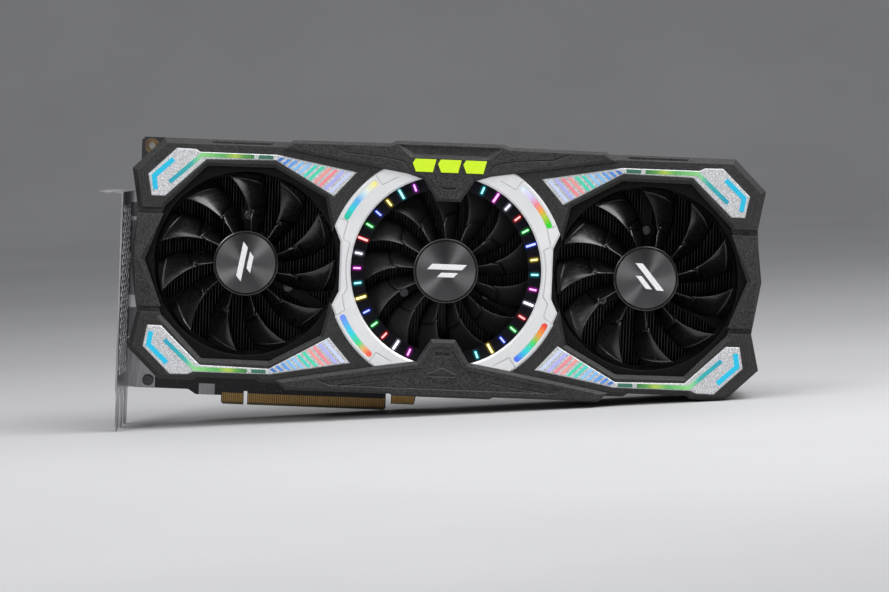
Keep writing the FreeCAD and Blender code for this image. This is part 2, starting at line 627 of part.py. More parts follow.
def edge_contacts():
    """Contact fingers on both faces of the tongue, and a bare pad on each face of the hook."""
    pitch = 1.0
    width = 0.7
    thickness = 0.05
    low = EDGE_BOTTOM + EDGE_BEVEL
    high = EDGE_BOTTOM + 5.9
    pads = []
    for y in (-thickness, BOARD_T):
        for start, count in ((EDGE_SHORT_LEFT + 0.5, 11), (EDGE_LONG_LEFT + 0.35, 71)):
            for i in range(count):
                x = start + i * pitch
                pads.append(block(x, x + width, y, y + thickness, low, high))
        hook_pad = [(-25.6, HOOK_BOTTOM + 0.3), (-14.3, HOOK_BOTTOM + 0.3), (-13.5, HOOK_BOTTOM + 4.3),
                    (-25.6, HOOK_BOTTOM + 4.3)]
        pads.append(prism(hook_pad, y, y + thickness))
    return pads


def gpu_package():
    """Substrate, stiffening frame and die."""
    substrate = block(-22, 22, -1.3, 0.0, -22, 22)
    die = block(-12.5, 12.5, Y_DIE, -1.3, -12, 12)
    frame = block(-21.5, 21.5, -1.8, -1.3, -21.5, 21.5).cut(block(-16.5, 16.5, -2, -1, -16.5, 16.5))
    return substrate.fuse([die, frame])


def memory_places():
    """Centres of the memory chips round the processor."""
    places = []
    for i in range(4):
        places.append((-46.0, -25.5 + 17.0 * i))
        places.append((46.0, -25.5 + 17.0 * i))
    places += [(-19.0, 45.5), (0.0, 45.5), (19.0, 45.5), (-19.0, -44.5), (19.0, -44.5)]
    return places


def memory_chips():
    """Flat memory packages."""
    return [block(x - 6, x + 6, -1.2, 0.0, z - 7, z + 7) for x, z in memory_places()]


def thermal_pads():
    """Soft pads between the memory and the midplate."""
    return [block(x - 5.5, x + 5.5, Y_MIDPLATE_BACK, -1.2, z - 6.5, z + 6.5) for x, z in memory_places()]


def power_chokes():
    """Two columns of square chokes."""
    chokes = []
    for side in (-1, 1):
        for i in range(7):
            z = -33.0 + 11.0 * i
            body = block(side * 64 - 4, side * 64 + 4, -5.5, 0.0, z - 4, z + 4)
            front = [edge for edge in body.Edges if abs(edge.CenterOfMass.y + 5.5) < 0.01]
            chokes.append(body.makeChamfer(0.6, front))
    return chokes


def capacitors():
    """Two columns of round polymer capacitors."""
    cans = []
    for x, z in [(side * 84.0, -33.0 + 11.0 * i) for side in (-1, 1) for i in range(7)]:
        can = disc(3.1, -6.5, 0.0, x, z)
        front = [edge for edge in can.Edges if abs(edge.CenterOfMass.y + 6.5) < 0.01]
        cans.append(can.makeFillet(0.5, front))
    return cans


def power_socket():
    """Supply socket on the board's top edge: a shell open upwards with pins standing inside."""
    shell = block(86, 104, -11.4, 0.0, 46.0, 60.6)
    mouth = block(87.4, 102.6, -10.0, -1.4, 48.0, 62.0)
    shell = shell.cut(mouth)
    pins = []
    for i in range(4):
        for y in (-7.8, -3.6):
            x = 89.4 + 3.75 * i
            pins.append(block(x - 0.4, x + 0.4, y - 0.4, y + 0.4, 47.0, 54.0))
    clip = block(93, 97, -12.6, -11.4, 52.0, 58.0)
    return shell.fuse(pins + [clip])


# ---- rear and bracket ----
def backplate():
    """Rear plate with tall vents past the board's end and two engraved lines."""
    outline = [(142.2, 59.4), (157.0, 45.0), (157.0, -43.4), (141.8, -58.0), (-148.0, -58.0),
               (-157.0, -49.0), (-157.0, 45.0), (-148.0, 52.5), (-142.2, 59.4)]
    plate = prism(outline, Y_PLATE_FRONT, Y_PLATE_BACK)
    vents = []
    for i in range(9):
        x = 112.0 + 4.6 * i
        vents.append(block(x - 1.4, x + 1.4, Y_PLATE_FRONT - 1, Y_PLATE_BACK + 1, -36, 36))
    lines = grooves([[(-140, side * 30), (-60, side * 30), (-40, side * 50), (96, side * 50)]
                     for side in (-1, 1)], 0, 1.2, 0.5)
    lines = [moved(tool, 0, Y_PLATE_BACK - 0.5, 0) for tool in lines]
    places = PLATE_SCREWS + END_SCREWS
    screw_holes = [disc(1.25, Y_PLATE_FRONT - 1, Y_PLATE_BACK + 1, x, z) for x, z in places]
    return plate.cut(vents + lines + screw_holes)


def backplate_fasteners():
    """Flat-headed screws through the backplate, with spacers where they stand over the board."""
    screws = []
    for x, z in PLATE_SCREWS + END_SCREWS:
        head = disc(2.4, Y_PLATE_BACK, Y_PLATE_BACK + 1.0, x, z)
        shank = disc(1.25, Y_PLATE_FRONT, Y_PLATE_BACK, x, z)
        if (x, z) in PLATE_SCREWS:
            shank = shank.fuse(disc(3.0, BOARD_T, Y_PLATE_FRONT, x, z))
        cross = [block(x - 1.3, x + 1.3, Y_PLATE_BACK + 0.5, Y_PLATE_BACK + 2, z - 0.3, z + 0.3),
                 block(x - 0.3, x + 0.3, Y_PLATE_BACK + 0.5, Y_PLATE_BACK + 2, z - 1.3, z + 1.3)]
        screws.append(head.fuse(shank).cut(cross))
    return screws


def port_shell(z_middle, z_size, y_size, length, notch):
    """Metal socket shell with an open mouth, a chamfered corner and a contact tongue deep inside."""
    z0 = z_middle - z_size / 2.0
    z1 = z_middle + z_size / 2.0
    y1 = -0.4
    y0 = y1 - y_size
    x0 = BRACKET_X - 0.3
    wall = 0.4

    def body(inset, start, end):
        corners = [(y0 + inset, z0 + inset), (y1 - inset, z0 + inset), (y1 - inset, z1 - inset - notch),
                   (y1 - inset - notch, z1 - inset), (y0 + inset, z1 - inset)]
        points = [FreeCAD.Vector(start, y, z) for y, z in corners]
        return Part.Face(Part.makePolygon(points + points[:1])).extrude(FreeCAD.Vector(end - start, 0, 0))

    shell = body(0.0, x0, x0 + length).cut(body(wall, x0 - 1, x0 + length - 2.0))
    y_mid = (y0 + y1) / 2.0
    tongue = block(x0 + 5.2, x0 + length - 1.5, y_mid - 0.5, y_mid + 0.5, z0 + 2.5, z1 - 2.5)
    foot = block(x0 + 3, x0 + length, y1, 0.0, z0 + 1, z1 - 1)
    return shell.fuse([tongue, foot])


def hdmi_port():
    """The narrower display socket."""
    return port_shell(HDMI_Z, 15.0, 5.8, 12.0, 1.2)


def display_ports():
    """Three wider display sockets."""
    return [port_shell(z, 17.0, 6.0, 16.0, 1.6) for z in DISPLAY_PORT_Z]


def vent_holes():
    """Tools for the bracket's staggered hexagonal vents."""
    across = 3.9
    reach = across / math.sqrt(3.0)
    tools = []
    for row in range(8):
        y = -16.5 - 4.6 * row
        for i in range(16):
            z = -57.0 + 5.3 * i + 2.65 * (row % 2)
            corners = [polar(reach, 60 * k) for k in range(6)]
            points = [FreeCAD.Vector(BRACKET_X - 1, y + dy, z + dz) for dy, dz in corners]
            face = Part.Face(Part.makePolygon(points + points[:1]))
            tools.append(face.extrude(FreeCAD.Vector(BRACKET_T + 2, 0, 0)))
    return tools


def io_bracket():
    """Three-slot bracket: plate, bent top tab with notches, bottom tongues, vents and port windows."""
    y_front = BRACKET_BACK - BRACKET_WIDTH
    x_in = BRACKET_X + BRACKET_T
    plate = block(BRACKET_X, x_in, y_front, BRACKET_BACK, -66.0, BRACKET_TOP)
    tab = block(BRACKET_X - TAB_LENGTH, BRACKET_X, y_front, BRACKET_BACK, BRACKET_TOP - BRACKET_T,
                BRACKET_TOP)
    bottom = BRACKET_TOP - BRACKET_HEIGHT
    solids = [tab]
    cuts = []
    for i in range(3):
        centre = BRACKET_BACK - 9.21 - SLOT_PITCH * i
        half = [(7.1, -66.0), (5.1, -71.0), (5.1, bottom + 3), (3.6, bottom)]
        corners = [(centre + y, z) for y, z in half] + [(centre - y, z) for y, z in reversed(half)]
        points = [FreeCAD.Vector(BRACKET_X, y, z) for y, z in corners]
        tongue = Part.Face(Part.makePolygon(points + points[:1]))
        solids.append(tongue.extrude(FreeCAD.Vector(BRACKET_T, 0, 0)))
        notch_y = centre + 5.0
        cuts.append(Part.makeCylinder(2.2, 4, FreeCAD.Vector(BRACKET_X - 5.0, notch_y, BRACKET_TOP - 2),
                                      FreeCAD.Vector(0, 0, 1)))
        cuts.append(block(BRACKET_X - TAB_LENGTH - 1, BRACKET_X - 5.0, notch_y - 2.2, notch_y + 2.2,
                          BRACKET_TOP - 2, BRACKET_TOP + 2))
    cuts += vent_holes()
    for z, height, depth in [(HDMI_Z, 15.4, 6.2)] + [(z, 17.4, 6.4) for z in DISPLAY_PORT_Z]:
        cuts.append(block(BRACKET_X - 1, x_in + 1, -0.2 - depth, -0.2, z - height / 2, z + height / 2))
    ears = []
    for z in BRACKET_EARS:
        ears.append(block(BRACKET_X, x_in + EAR_LENGTH, -BRACKET_T, 0.0, z - 3.8, z + 3.8))
    return plate.fuse(solids + ears).cut(cuts).removeSplitter()


def bracket_screws():
    """Screws that hold the bracket's ears to the board."""
    screws = []
    for z in BRACKET_EARS:
        x = BRACKET_X + BRACKET_T + EAR_LENGTH - 3.6
        head = disc(2.9, -BRACKET_T - 1.6, -BRACKET_T, x, z)
        front = [edge for edge in head.Edges if abs(edge.CenterOfMass.y + BRACKET_T + 1.6) < 0.01]
        screws.append(head.makeFillet(0.5, front))
    return screws


def all_parts():
    """Every node's name and shape, in modelling coordinates."""
    right_frame = frame_right()
    right_brace = side_brace_right()
    shapes = {
        "shroud_deck": shroud_deck(),
        "shroud_walls": shroud_walls(),
        "frame_right": right_frame,
        "frame_left": mirror_x(right_frame),
        "side_brace_right": right_brace,
        "side_brace_left": mirror_x(right_brace),
        "top_bridge": top_bridge(),
        "bottom_bridge": bottom_bridge(),
        "center_ring": center_ring(),
        "ring_lamps": ring_lamps(),
        "led_ring": led_ring(),
        "led_ticks": led_ticks(),
        "top_badge": top_badge(),
        "fan_screws": fan_screws(),
        "fin_stack_left": fin_stack(-149.6, -50.6, 54.0),
        "fin_stack_center": fin_stack(-49.5, 49.5, 54.0),
        "fin_stack_right": fin_stack(50.6, 149.6, 54.0),
        "heat_pipes": heat_pipes(),
        "cold_plate": cold_plate(),
        "midplate": midplate(),
        "circuit_board": circuit_board(),
        "edge_contacts": edge_contacts(),
        "gpu_package": gpu_package(),
        "memory_chips": memory_chips(),
        "thermal_pads": thermal_pads(),
        "power_chokes": power_chokes(),
        "capacitors": capacitors(),
        "power_socket": power_socket(),
        "backplate": backplate(),
        "backplate_fasteners": backplate_fasteners(),
        "io_bracket": io_bracket(),
        "hdmi_port": hdmi_port(),
        "display_ports": display_ports(),
        "bracket_screws": bracket_screws(),
    }
    for vertical, side_z in (("upper", 1), ("lower", -1)):
        for across, side_x in (("left", -1), ("right", 1)):
            shapes["light_panel_%s_%s" % (vertical, across)] = light_panel(side_x, side_z)
            shapes["light_strips_%s_%s" % (vertical, across)] = light_strips(side_x, side_z)
    outer = (OUTER_BLADES, OUTER_SWEEP, OUTER_SWEEP_POWER)
    middle = (MIDDLE_BLADES, MIDDLE_SWEEP, MIDDLE_SWEEP_POWER)
    fans = (("left", -FAN_PITCH, outer, 16.9, 80.0), ("center", 0.0, middle, 9.7, 0.0),
            ("right", FAN_PITCH, outer, 8.5, -50.0))
    for name, x, (blades, sweep, power), first, mark_angle in fans:
        shapes["impeller_" + name] = impeller(x, blades, sweep, power, first)
        shapes["hub_cap_" + name] = hub_cap(x)
        shapes["hub_mark_" + name] = hub_mark(x, mark_angle)
        shapes["fan_motor_" + name] = fan_motor(x)
        shapes["fan_shaft_" + name] = fan_shaft(x)
        shapes["fan_housing_" + name] = fan_housing(x)
    return shapes


os.makedirs("parts", exist_ok=True)
for node, shape in all_parts().items():
    if isinstance(shape, list):
        shape = Part.makeCompound(shape)
    placed = moved(shape, -ORIGIN_X, -ORIGIN_Y, -ORIGIN_Z)
    placed.exportStep("parts/" + node + ".step")
    print(node, len(placed.Solids), "solids", round(placed.Volume, 1), "mm3", placed.isValid())
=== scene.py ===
import json
import math

import bmesh
import bpy
from mathutils import Matrix, Vector

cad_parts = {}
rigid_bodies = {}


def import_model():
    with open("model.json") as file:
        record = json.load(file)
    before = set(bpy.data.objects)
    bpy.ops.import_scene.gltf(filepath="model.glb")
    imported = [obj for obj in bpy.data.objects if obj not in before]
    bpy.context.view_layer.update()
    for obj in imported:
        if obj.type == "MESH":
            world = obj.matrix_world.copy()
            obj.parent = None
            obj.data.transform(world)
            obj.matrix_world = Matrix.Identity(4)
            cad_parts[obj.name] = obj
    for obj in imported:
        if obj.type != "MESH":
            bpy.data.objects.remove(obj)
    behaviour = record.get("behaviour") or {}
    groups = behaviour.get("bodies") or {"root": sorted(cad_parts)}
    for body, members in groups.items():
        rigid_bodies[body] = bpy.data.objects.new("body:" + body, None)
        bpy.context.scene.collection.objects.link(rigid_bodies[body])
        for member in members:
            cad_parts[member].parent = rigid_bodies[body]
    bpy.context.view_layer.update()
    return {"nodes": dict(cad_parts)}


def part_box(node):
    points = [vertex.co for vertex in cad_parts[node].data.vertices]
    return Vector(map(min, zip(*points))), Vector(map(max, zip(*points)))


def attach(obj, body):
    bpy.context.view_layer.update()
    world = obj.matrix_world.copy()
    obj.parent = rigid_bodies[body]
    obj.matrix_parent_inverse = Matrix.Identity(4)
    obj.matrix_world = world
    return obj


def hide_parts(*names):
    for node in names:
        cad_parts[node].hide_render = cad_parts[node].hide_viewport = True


for leftover in list(bpy.data.objects):
    bpy.data.objects.remove(leftover)
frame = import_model()
NODES = frame["nodes"]

# ---- places: millimetres about the middle fan's axis, depth from the board's component side ----
MM = 0.001
CAP_LOW, CAP_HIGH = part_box("hub_cap_center")
HUB_X = (CAP_LOW.x + CAP_HIGH.x) / 2
HUB_Z = (CAP_LOW.z + CAP_HIGH.z) / 2
BOARD_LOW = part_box("circuit_board")[0]
BOARD_Y = BOARD_LOW.y
BEVEL_TOP = BOARD_LOW.z + 1.2 * MM
FAN_PITCH = (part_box("hub_cap_right")[0].x - CAP_LOW.x) / MM
FRAME_Y = (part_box("frame_left")[0].y - BOARD_Y) / MM
RING_Y = (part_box("center_ring")[0].y - BOARD_Y) / MM
BRIDGE_Y = (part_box("bottom_bridge")[0].y - BOARD_Y) / MM
PANEL_Y = (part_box("light_panel_upper_left")[0].y - BOARD_Y) / MM
LENS_Y = (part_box("led_ring")[0].y - BOARD_Y) / MM
CAP_Y = (CAP_LOW.y - BOARD_Y) / MM


def at(x, y, z):
    """Row position of a point given in millimetres about the middle fan."""
    return Vector((HUB_X + x * MM, BOARD_Y + y * MM, HUB_Z + z * MM))


def polar(radius, degrees):
    """Point (x, z) at a radius and an angle anticlockwise seen from the front."""
    angle = math.radians(degrees)
    return radius * math.cos(angle), radius * math.sin(angle)


def circle(radius, segments):
    """Points (x, z) evenly spaced about the origin."""
    return [polar(radius, 360 * i / segments) for i in range(segments)]


def turn_between(end, start):
    """Signed turn from one angle to another, at most half a circle."""
    return (end - start + 180) % 360 - 180


# ---- node helpers ----
def node(tree, kind, inputs=None, **settings):
    """Adds a shader node; inputs holds constants or sockets to link."""
    made = tree.nodes.new("ShaderNode" + kind)
    for key, value in settings.items():
        setattr(made, key, value)
    for key, value in (inputs or {}).items():
        if isinstance(value, bpy.types.NodeSocket):
            tree.links.new(value, made.inputs[key])
        else:
            made.inputs[key].default_value = value
    return made


def start_material(name):
    """New material with an empty tree but for its output and a Principled shader."""
    material = bpy.data.materials.new(name)
    material.use_nodes = True
    tree = material.node_tree
    tree.nodes.clear()
    output = tree.nodes.new("ShaderNodeOutputMaterial")
    shader = tree.nodes.new("ShaderNodeBsdfPrincipled")
    tree.links.new(shader.outputs["BSDF"], output.inputs["Surface"])
    return material, tree, shader


def ramp(tree, factor, stops, interpolation="LINEAR"):
    """Colour ramp; stops are (position, colour) pairs."""
    made = node(tree, "ValToRGB", {"Fac": factor})
    elements = made.color_ramp.elements
    made.color_ramp.interpolation = interpolation
    while len(elements) < len(stops):
        elements.new(0.5)
    for element, (position, colour) in zip(elements, stops):
        element.position = position
        element.color = (*colour, 1.0)
    return made.outputs["Color"]


def grey(value):
    """Very slightly blue grey."""
    return (value, value, value * 1.02)


def object_coords(tree):
    return node(tree, "TexCoord").outputs["Object"]


def noise(tree, vector, scale, detail, roughness=0.5):
    """Noise factor; roughness is the share that each finer layer keeps."""
    return node(tree, "TexNoise", {"Vector": vector, "Scale": scale, "Detail": detail,
                                   "Roughness": roughness}).outputs["Fac"]


def blend_colour(tree, factor, first, second, blend_type="MIX"):
    """Mixes two colours, given as sockets or as constants with alpha."""
    made = node(tree, "Mix", {"Factor": factor, "A": first, "B": second}, data_type="RGBA",
                blend_type=blend_type)
    return made.outputs[2]


def vary_roughness(tree, shader, factor, low, high, start=0.3, end=0.7):
    """Takes a shader's roughness from low to high as a factor goes from start to end."""
    spread = node(tree, "MapRange", {"Value": factor, "From Min": start, "From Max": end,
                                     "To Min": low, "To Max": high})
    tree.links.new(spread.outputs["Result"], shader.inputs["Roughness"])


def add_relief(tree, shader, height, strength, distance, normal=None):
    """Bumps a shader's normal, starting from a rounded normal where one is given."""
    inputs = {"Height": height, "Strength": strength, "Distance": distance}
    if normal is not None:
        inputs["Normal"] = normal
    relief = node(tree, "Bump", inputs)
    tree.links.new(relief.outputs["Normal"], shader.inputs["Normal"])


def rounded_normal(tree, radius):
    """Normal that looks as if edges were rounded over."""
    return node(tree, "Bevel", {"Radius": radius}, samples=4).outputs["Normal"]


def edge_mask(tree, radius):
    """0 on flat faces, rising towards 1 on edges, with the rounded normal beside it."""
    rounded = rounded_normal(tree, radius)
    true = node(tree, "NewGeometry").outputs["Normal"]
    dot = node(tree, "VectorMath", {0: rounded, 1: true}, operation="DOT_PRODUCT")
    mask = node(tree, "MapRange", {"Value": dot.outputs["Value"], "From Min": 0.99, "From Max": 0.72})
    return mask.outputs["Result"], rounded


# ---- materials ----
def textured_plastic(name, dark, light, edge, roughness, grain=1500.0, bump=0.6, shine=0.4):
    """Spark-eroded moulded plastic: fine grain, cloudy tone, and edges painted a lighter grey as a painted
    highlight.
    """
    material, tree, shader = start_material(name)
    coords = object_coords(tree)
    fine = noise(tree, coords, grain, 3.0, 0.65)
    cloud = noise(tree, coords, 28.0, 4.0)
    mixed = node(tree, "Math", {0: cloud, 1: 0.12, 2: fine}, operation="MULTIPLY_ADD")
    tone = ramp(tree, mixed.outputs["Value"], [(0.46, grey(dark)), (0.66, grey(light))])
    mask, rounded = edge_mask(tree, 0.45 * MM)
    # edges blend to a lighter grey: a painted highlight where the bevels catch the light
    plastic_edge_highlight = blend_colour(tree, mask, tone, (*grey(edge), 1.0))
    tree.links.new(plastic_edge_highlight, shader.inputs["Base Color"])
    vary_roughness(tree, shader, fine, roughness - 0.07, roughness + 0.09)
    add_relief(tree, shader, fine, bump, 0.3 * MM, rounded)
    shader.inputs["Specular IOR Level"].default_value = shine
    return material


def satin_silver(name):
    """Silver paint with a very fine metallic flake and soft, wide highlights."""
    material, tree, shader = start_material(name)
    coords = object_coords(tree)
    flake = node(tree, "TexVoronoi", {"Vector": coords, "Scale": 5200.0}).outputs["Distance"]
    cloud = noise(tree, coords, 45.0, 3.0)
    mixed = node(tree, "Mix", {"Factor": 0.25, "A": cloud, "B": flake}, data_type="FLOAT")
    tone = ramp(tree, mixed.outputs[0], [(0.25, (0.80, 0.81, 0.82)), (0.7, (0.93, 0.93, 0.94))])
    mask, rounded = edge_mask(tree, 0.35 * MM)
    # edges blend to near white: a painted highlight on the ring's bevels
    edge_painted_highlight = blend_colour(tree, mask, tone, (0.96, 0.96, 0.97, 1.0))
    tree.links.new(edge_painted_highlight, shader.inputs["Base Color"])
    vary_roughness(tree, shader, flake, 0.30, 0.42, 0.0, 1.0)
    shader.inputs["Metallic"].default_value = 0.25
    add_relief(tree, shader, flake, 0.12, 0.05 * MM, rounded)
    return material


def glitter_silver(name):
    """Silver panel with coarse glitter: small cells that each catch the light differently."""
    material, tree, shader = start_material(name)
    cells = node(tree, "TexVoronoi", {"Vector": object_coords(tree), "Scale": 2600.0})
    split = node(tree, "SeparateColor", {"Color": cells.outputs["Color"]})
    tone = ramp(tree, split.outputs[0], [(0.0, (0.46, 0.47, 0.49)), (0.5, (0.66, 0.67, 0.69)),
                                         (0.85, (0.84, 0.85, 0.86)), (1.0, (1.0, 1.0, 1.0))])
    tree.links.new(tone, shader.inputs["Base Color"])
    vary_roughness(tree, shader, split.outputs[1], 0.22, 0.5, 0.0, 1.0)
    shader.inputs["Metallic"].default_value = 0.35
    add_relief(tree, shader, split.outputs[2], 0.35, 0.12 * MM)
    return material


def gloss_black(name, roughness=0.2, base=0.005):
    """Glossy moulded black with faint flow waviness and dusting in the roughness."""
    material, tree, shader = start_material(name)
    coords = object_coords(tree)
    flow = noise(tree, coords, 60.0, 2.0)
    dust = noise(tree, coords, 900.0, 5.0)
    tone = ramp(tree, dust, [(0.35, grey(base * 0.8)), (0.75, grey(base * 1.6))])
    tree.links.new(tone, shader.inputs["Base Color"])
    vary_roughness(tree, shader, dust, roughness - 0.04, roughness + 0.10, 0.3, 0.75)
    add_relief(tree, shader, flow, 0.08, 0.6 * MM, rounded_normal(tree, 0.25 * MM))
    shader.inputs["Specular IOR Level"].default_value = 0.9
    return material


def spun_metal(name, dark, light, centre_x):
    """Black metal spun about a fan's axis: fine turning rings and strong anisotropy."""
    material, tree, shader = start_material(name)
    centre = node(tree, "VectorMath", {0: object_coords(tree), 1: (centre_x, 0.0, HUB_Z)},
                  operation="SUBTRACT")
    flat = node(tree, "VectorMath", {0: centre.outputs["Vector"], 1: (1.0, 0.0, 1.0)}, operation="MULTIPLY")
    radius = node(tree, "VectorMath", {0: flat.outputs["Vector"]}, operation="LENGTH")
    turns = node(tree, "CombineXYZ", {"X": radius.outputs["Value"]})
    rings = noise(tree, turns.outputs["Vector"], 6000.0, 4.0)
    tone = ramp(tree, rings, [(0.35, grey(dark)), (0.65, grey(light))])
    tree.links.new(tone, shader.inputs["Base Color"])
    vary_roughness(tree, shader, rings, 0.40, 0.50)
    shader.inputs["Metallic"].default_value = 1.0
    shader.inputs["Anisotropic"].default_value = 1.0
    tangent = node(tree, "Tangent", direction_type="RADIAL", axis="Y")
    tree.links.new(tangent.outputs["Tangent"], shader.inputs["Tangent"])
    add_relief(tree, shader, rings, 0.05, 0.05 * MM)
    return material


def metal(name, dark, light, roughness, scale, stretch, metallic=1.0, bump=0.1):
    """Brushed or rolled metal; stretch lengthens the grain along one axis, and edges are painted light as a
    painted highlight.
    """
    material, tree, shader = start_material(name)
    grain_space = node(tree, "Mapping", {"Vector": object_coords(tree), "Scale": stretch})
    grain = noise(tree, grain_space.outputs["Vector"], scale, 4.0)
    mask, rounded = edge_mask(tree, 0.2 * MM)
    tone = ramp(tree, grain, [(0.3, dark), (0.7, light)])
    # edges blend to the light colour: a painted highlight
    edge_painted_highlight = blend_colour(tree, mask, tone, (*light, 1.0))
    tree.links.new(edge_painted_highlight, shader.inputs["Base Color"])
    vary_roughness(tree, shader, grain, roughness - 0.06, roughness + 0.1)
    shader.inputs["Metallic"].default_value = metallic
    add_relief(tree, shader, grain, bump, 0.08 * MM, rounded)
    return material


def solder_mask(name, bare_below):
    """Black solder mask over faint copper traces, with vias, and bare laminate below a height."""
    material, tree, shader = start_material(name)
    coords = object_coords(tree)
    turned = node(tree, "Mapping", {"Vector": coords, "Rotation": (math.pi / 2, 0.0, 0.0)})
    black = (0.0, 0.0, 0.0, 1.0)
    traces = node(tree, "TexBrick", {
        "Vector": turned.outputs["Vector"], "Scale": 260.0, "Mortar Size": 0.03, "Brick Width": 1.4,
        "Row Height": 0.22, "Color1": black, "Color2": black, "Mortar": (1.0, 1.0, 1.0, 1.0)}).outputs["Fac"]
    vias = node(tree, "TexVoronoi", {"Vector": coords, "Scale": 420.0})
    spots = ramp(tree, vias.outputs["Distance"], [(0.10, (0.16, 0.14, 0.10)), (0.16, black[:3])])
    base = ramp(tree, traces, [(0.0, (0.012, 0.013, 0.016)), (1.0, (0.035, 0.038, 0.045))])
    masked = blend_colour(tree, 1.0, base, spots, "ADD")
    height = node(tree, "SeparateXYZ", {"Vector": coords})
    bare = node(tree, "MapRange", {"Value": height.outputs["Z"], "From Min": bare_below,
                                   "From Max": bare_below - 0.05 * MM})
    weave = noise(tree, coords, 2500.0, 2.0)
    laminate = ramp(tree, weave, [(0.35, (0.22, 0.19, 0.10)), (0.65, (0.34, 0.30, 0.18))])
    finish = blend_colour(tree, bare.outputs["Result"], masked, laminate)
    tree.links.new(finish, shader.inputs["Base Color"])
    shader.inputs["Roughness"].default_value = 0.38
    add_relief(tree, shader, traces, 0.2, 0.04 * MM)
    return material


def lit_lens(name, strength, body=0.03):
    """Diffuser lit from behind: its colour attribute tints it, and fine grain breaks it up."""
    material, tree, shader = start_material(name)
    tint = node(tree, "Attribute", attribute_name="tint")
    grain = noise(tree, object_coords(tree), 1400.0, 3.0)
    tone = ramp(tree, grain, [(0.3, (0.84, 0.84, 0.84)), (0.7, (1.0, 1.0, 1.0))])
    glow = blend_colour(tree, 1.0, tint.outputs["Color"], tone, "MULTIPLY")
    unlit = ramp(tree, grain, [(0.3, grey(body * 0.8)), (0.7, grey(body * 1.2))])
    tree.links.new(unlit, shader.inputs["Base Color"])
    tree.links.new(glow, shader.inputs["Emission Color"])
    shader.inputs["Emission Strength"].default_value = strength
    shader.inputs["Roughness"].default_value = 0.35
    shader.inputs["Specular IOR Level"].default_value = 0.25
    return material


def dark_lens(name):
    """Smoked ring lens: nearly black, glossy, with soft halos from its colour attribute."""
    material, tree, shader = start_material(name)
    tint = node(tree, "Attribute", attribute_name="tint")
    haze = noise(tree, object_coords(tree), 300.0, 4.0)
    tone = ramp(tree, haze, [(0.3, (0.002, 0.002, 0.003)), (0.7, (0.006, 0.006, 0.008))])
    tree.links.new(tone, shader.inputs["Base Color"])
    tree.links.new(tint.outputs["Color"], shader.inputs["Emission Color"])
    shader.inputs["Emission Strength"].default_value = 1.0
    shader.inputs["Roughness"].default_value = 0.25
    shader.inputs["Specular IOR Level"].default_value = 0.08
    return material


MATERIALS = {
    "shroud": textured_plastic("charcoal_plastic", 0.004, 0.042, 0.13, 0.46),
    "bridge": textured_plastic("bridge_plastic", 0.005, 0.046, 0.14, 0.45),
    "silver": satin_silver("satin_silver"),
    "panel": glitter_silver("glitter_silver"),
    "fan": gloss_black("gloss_black"),
    "satin_fan": gloss_black("satin_black", 0.36, 0.010),
    # inner plastic: black plastic painted darker still than the shroud, as painted shade for the parts deep
    # in the fan wells
    "moulded": textured_plastic("inner_plastic", 0.002, 0.008, 0.03, 0.40, 900.0, 0.3, 0.12),
    # fin sheet: aluminium painted near black as painted shade in the heatsink behind the fans, with a
    # painted highlight on its edges
    "fins": metal("fin_sheet", (0.012, 0.012, 0.014), (0.085, 0.086, 0.09), 0.30, 400.0, (1.0, 1.0, 0.12)),
    "pipes": metal("nickel_plate", (0.42, 0.40, 0.38), (0.66, 0.63, 0.60), 0.24, 500.0, (0.1, 1.0, 1.0)),
    "black_metal": metal("black_anodised", (0.018, 0.018, 0.020), (0.045, 0.045, 0.050), 0.42, 900.0,
                         (0.06, 1.0, 1.0), 0.7),
    "steel": metal("plated_steel", (0.32, 0.32, 0.33), (0.55, 0.55, 0.57), 0.32, 700.0, (1.0, 1.0, 0.08)),
    "screw": metal("black_screw", (0.05, 0.05, 0.055), (0.14, 0.14, 0.15), 0.28, 900.0, (1.0, 1.0, 1.0)),
    "gold": metal("contact_gold", (0.38, 0.22, 0.07), (0.60, 0.38, 0.14), 0.30, 900.0, (1.0, 1.0, 0.2)),
    "board": solder_mask("solder_mask", BEVEL_TOP),
    "chip": textured_plastic("chip_plastic", 0.018, 0.035, 0.06, 0.5, grain=2400.0),
    "pad": textured_plastic("soft_pad", 0.28, 0.40, 0.42, 0.7, grain=1200.0),
    "can": metal("can_metal", (0.40, 0.40, 0.42), (0.62, 0.62, 0.64), 0.3, 900.0, (1.0, 1.0, 1.0)),
    "lit": lit_lens("lit_strip", 1.0),
    "lit_bright": lit_lens("lit_tick", 2.4),
    "lit_badge": lit_lens("lit_badge", 1.0),
    "lens": dark_lens("smoked_lens"),
    "white": textured_plastic("mark_white", 0.80, 0.95, 0.97, 0.35, bump=0.1),
}

MATERIAL_NODES = {
    "shroud": ("frame_left", "frame_right"),
    "bridge": ("side_brace_left", "side_brace_right", "top_bridge", "bottom_bridge"),
    "silver": ("center_ring",),
    "moulded": ("shroud_deck", "shroud_walls", "power_socket"),
    "screw": ("fan_screws", "backplate_fasteners", "bracket_screws"),
    "pipes": ("heat_pipes", "cold_plate"),
    "black_metal": ("midplate", "backplate"),
    "board": ("circuit_board",),
    "gold": ("edge_contacts",),
    "chip": ("gpu_package", "memory_chips", "power_chokes"),
    "pad": ("thermal_pads",),
    "can": ("capacitors",),
    "steel": ("io_bracket", "hdmi_port", "display_ports"),
}
NODE_MATERIALS = {name: key for key, names in MATERIAL_NODES.items() for name in names}
for side in ("left", "center", "right"):
    NODE_MATERIALS["fan_motor_" + side] = "moulded"
    NODE_MATERIALS["fan_housing_" + side] = "moulded"
    NODE_MATERIALS["fan_shaft_" + side] = "steel"
    NODE_MATERIALS["fin_stack_" + side] = "fins"
for place in ("upper_left", "upper_right", "lower_left", "lower_right"):
    NODE_MATERIALS["light_panel_" + place] = "panel"
for name, key in NODE_MATERIALS.items():
    NODES[name].data.materials.clear()
    NODES[name].data.materials.append(MATERIALS[key])


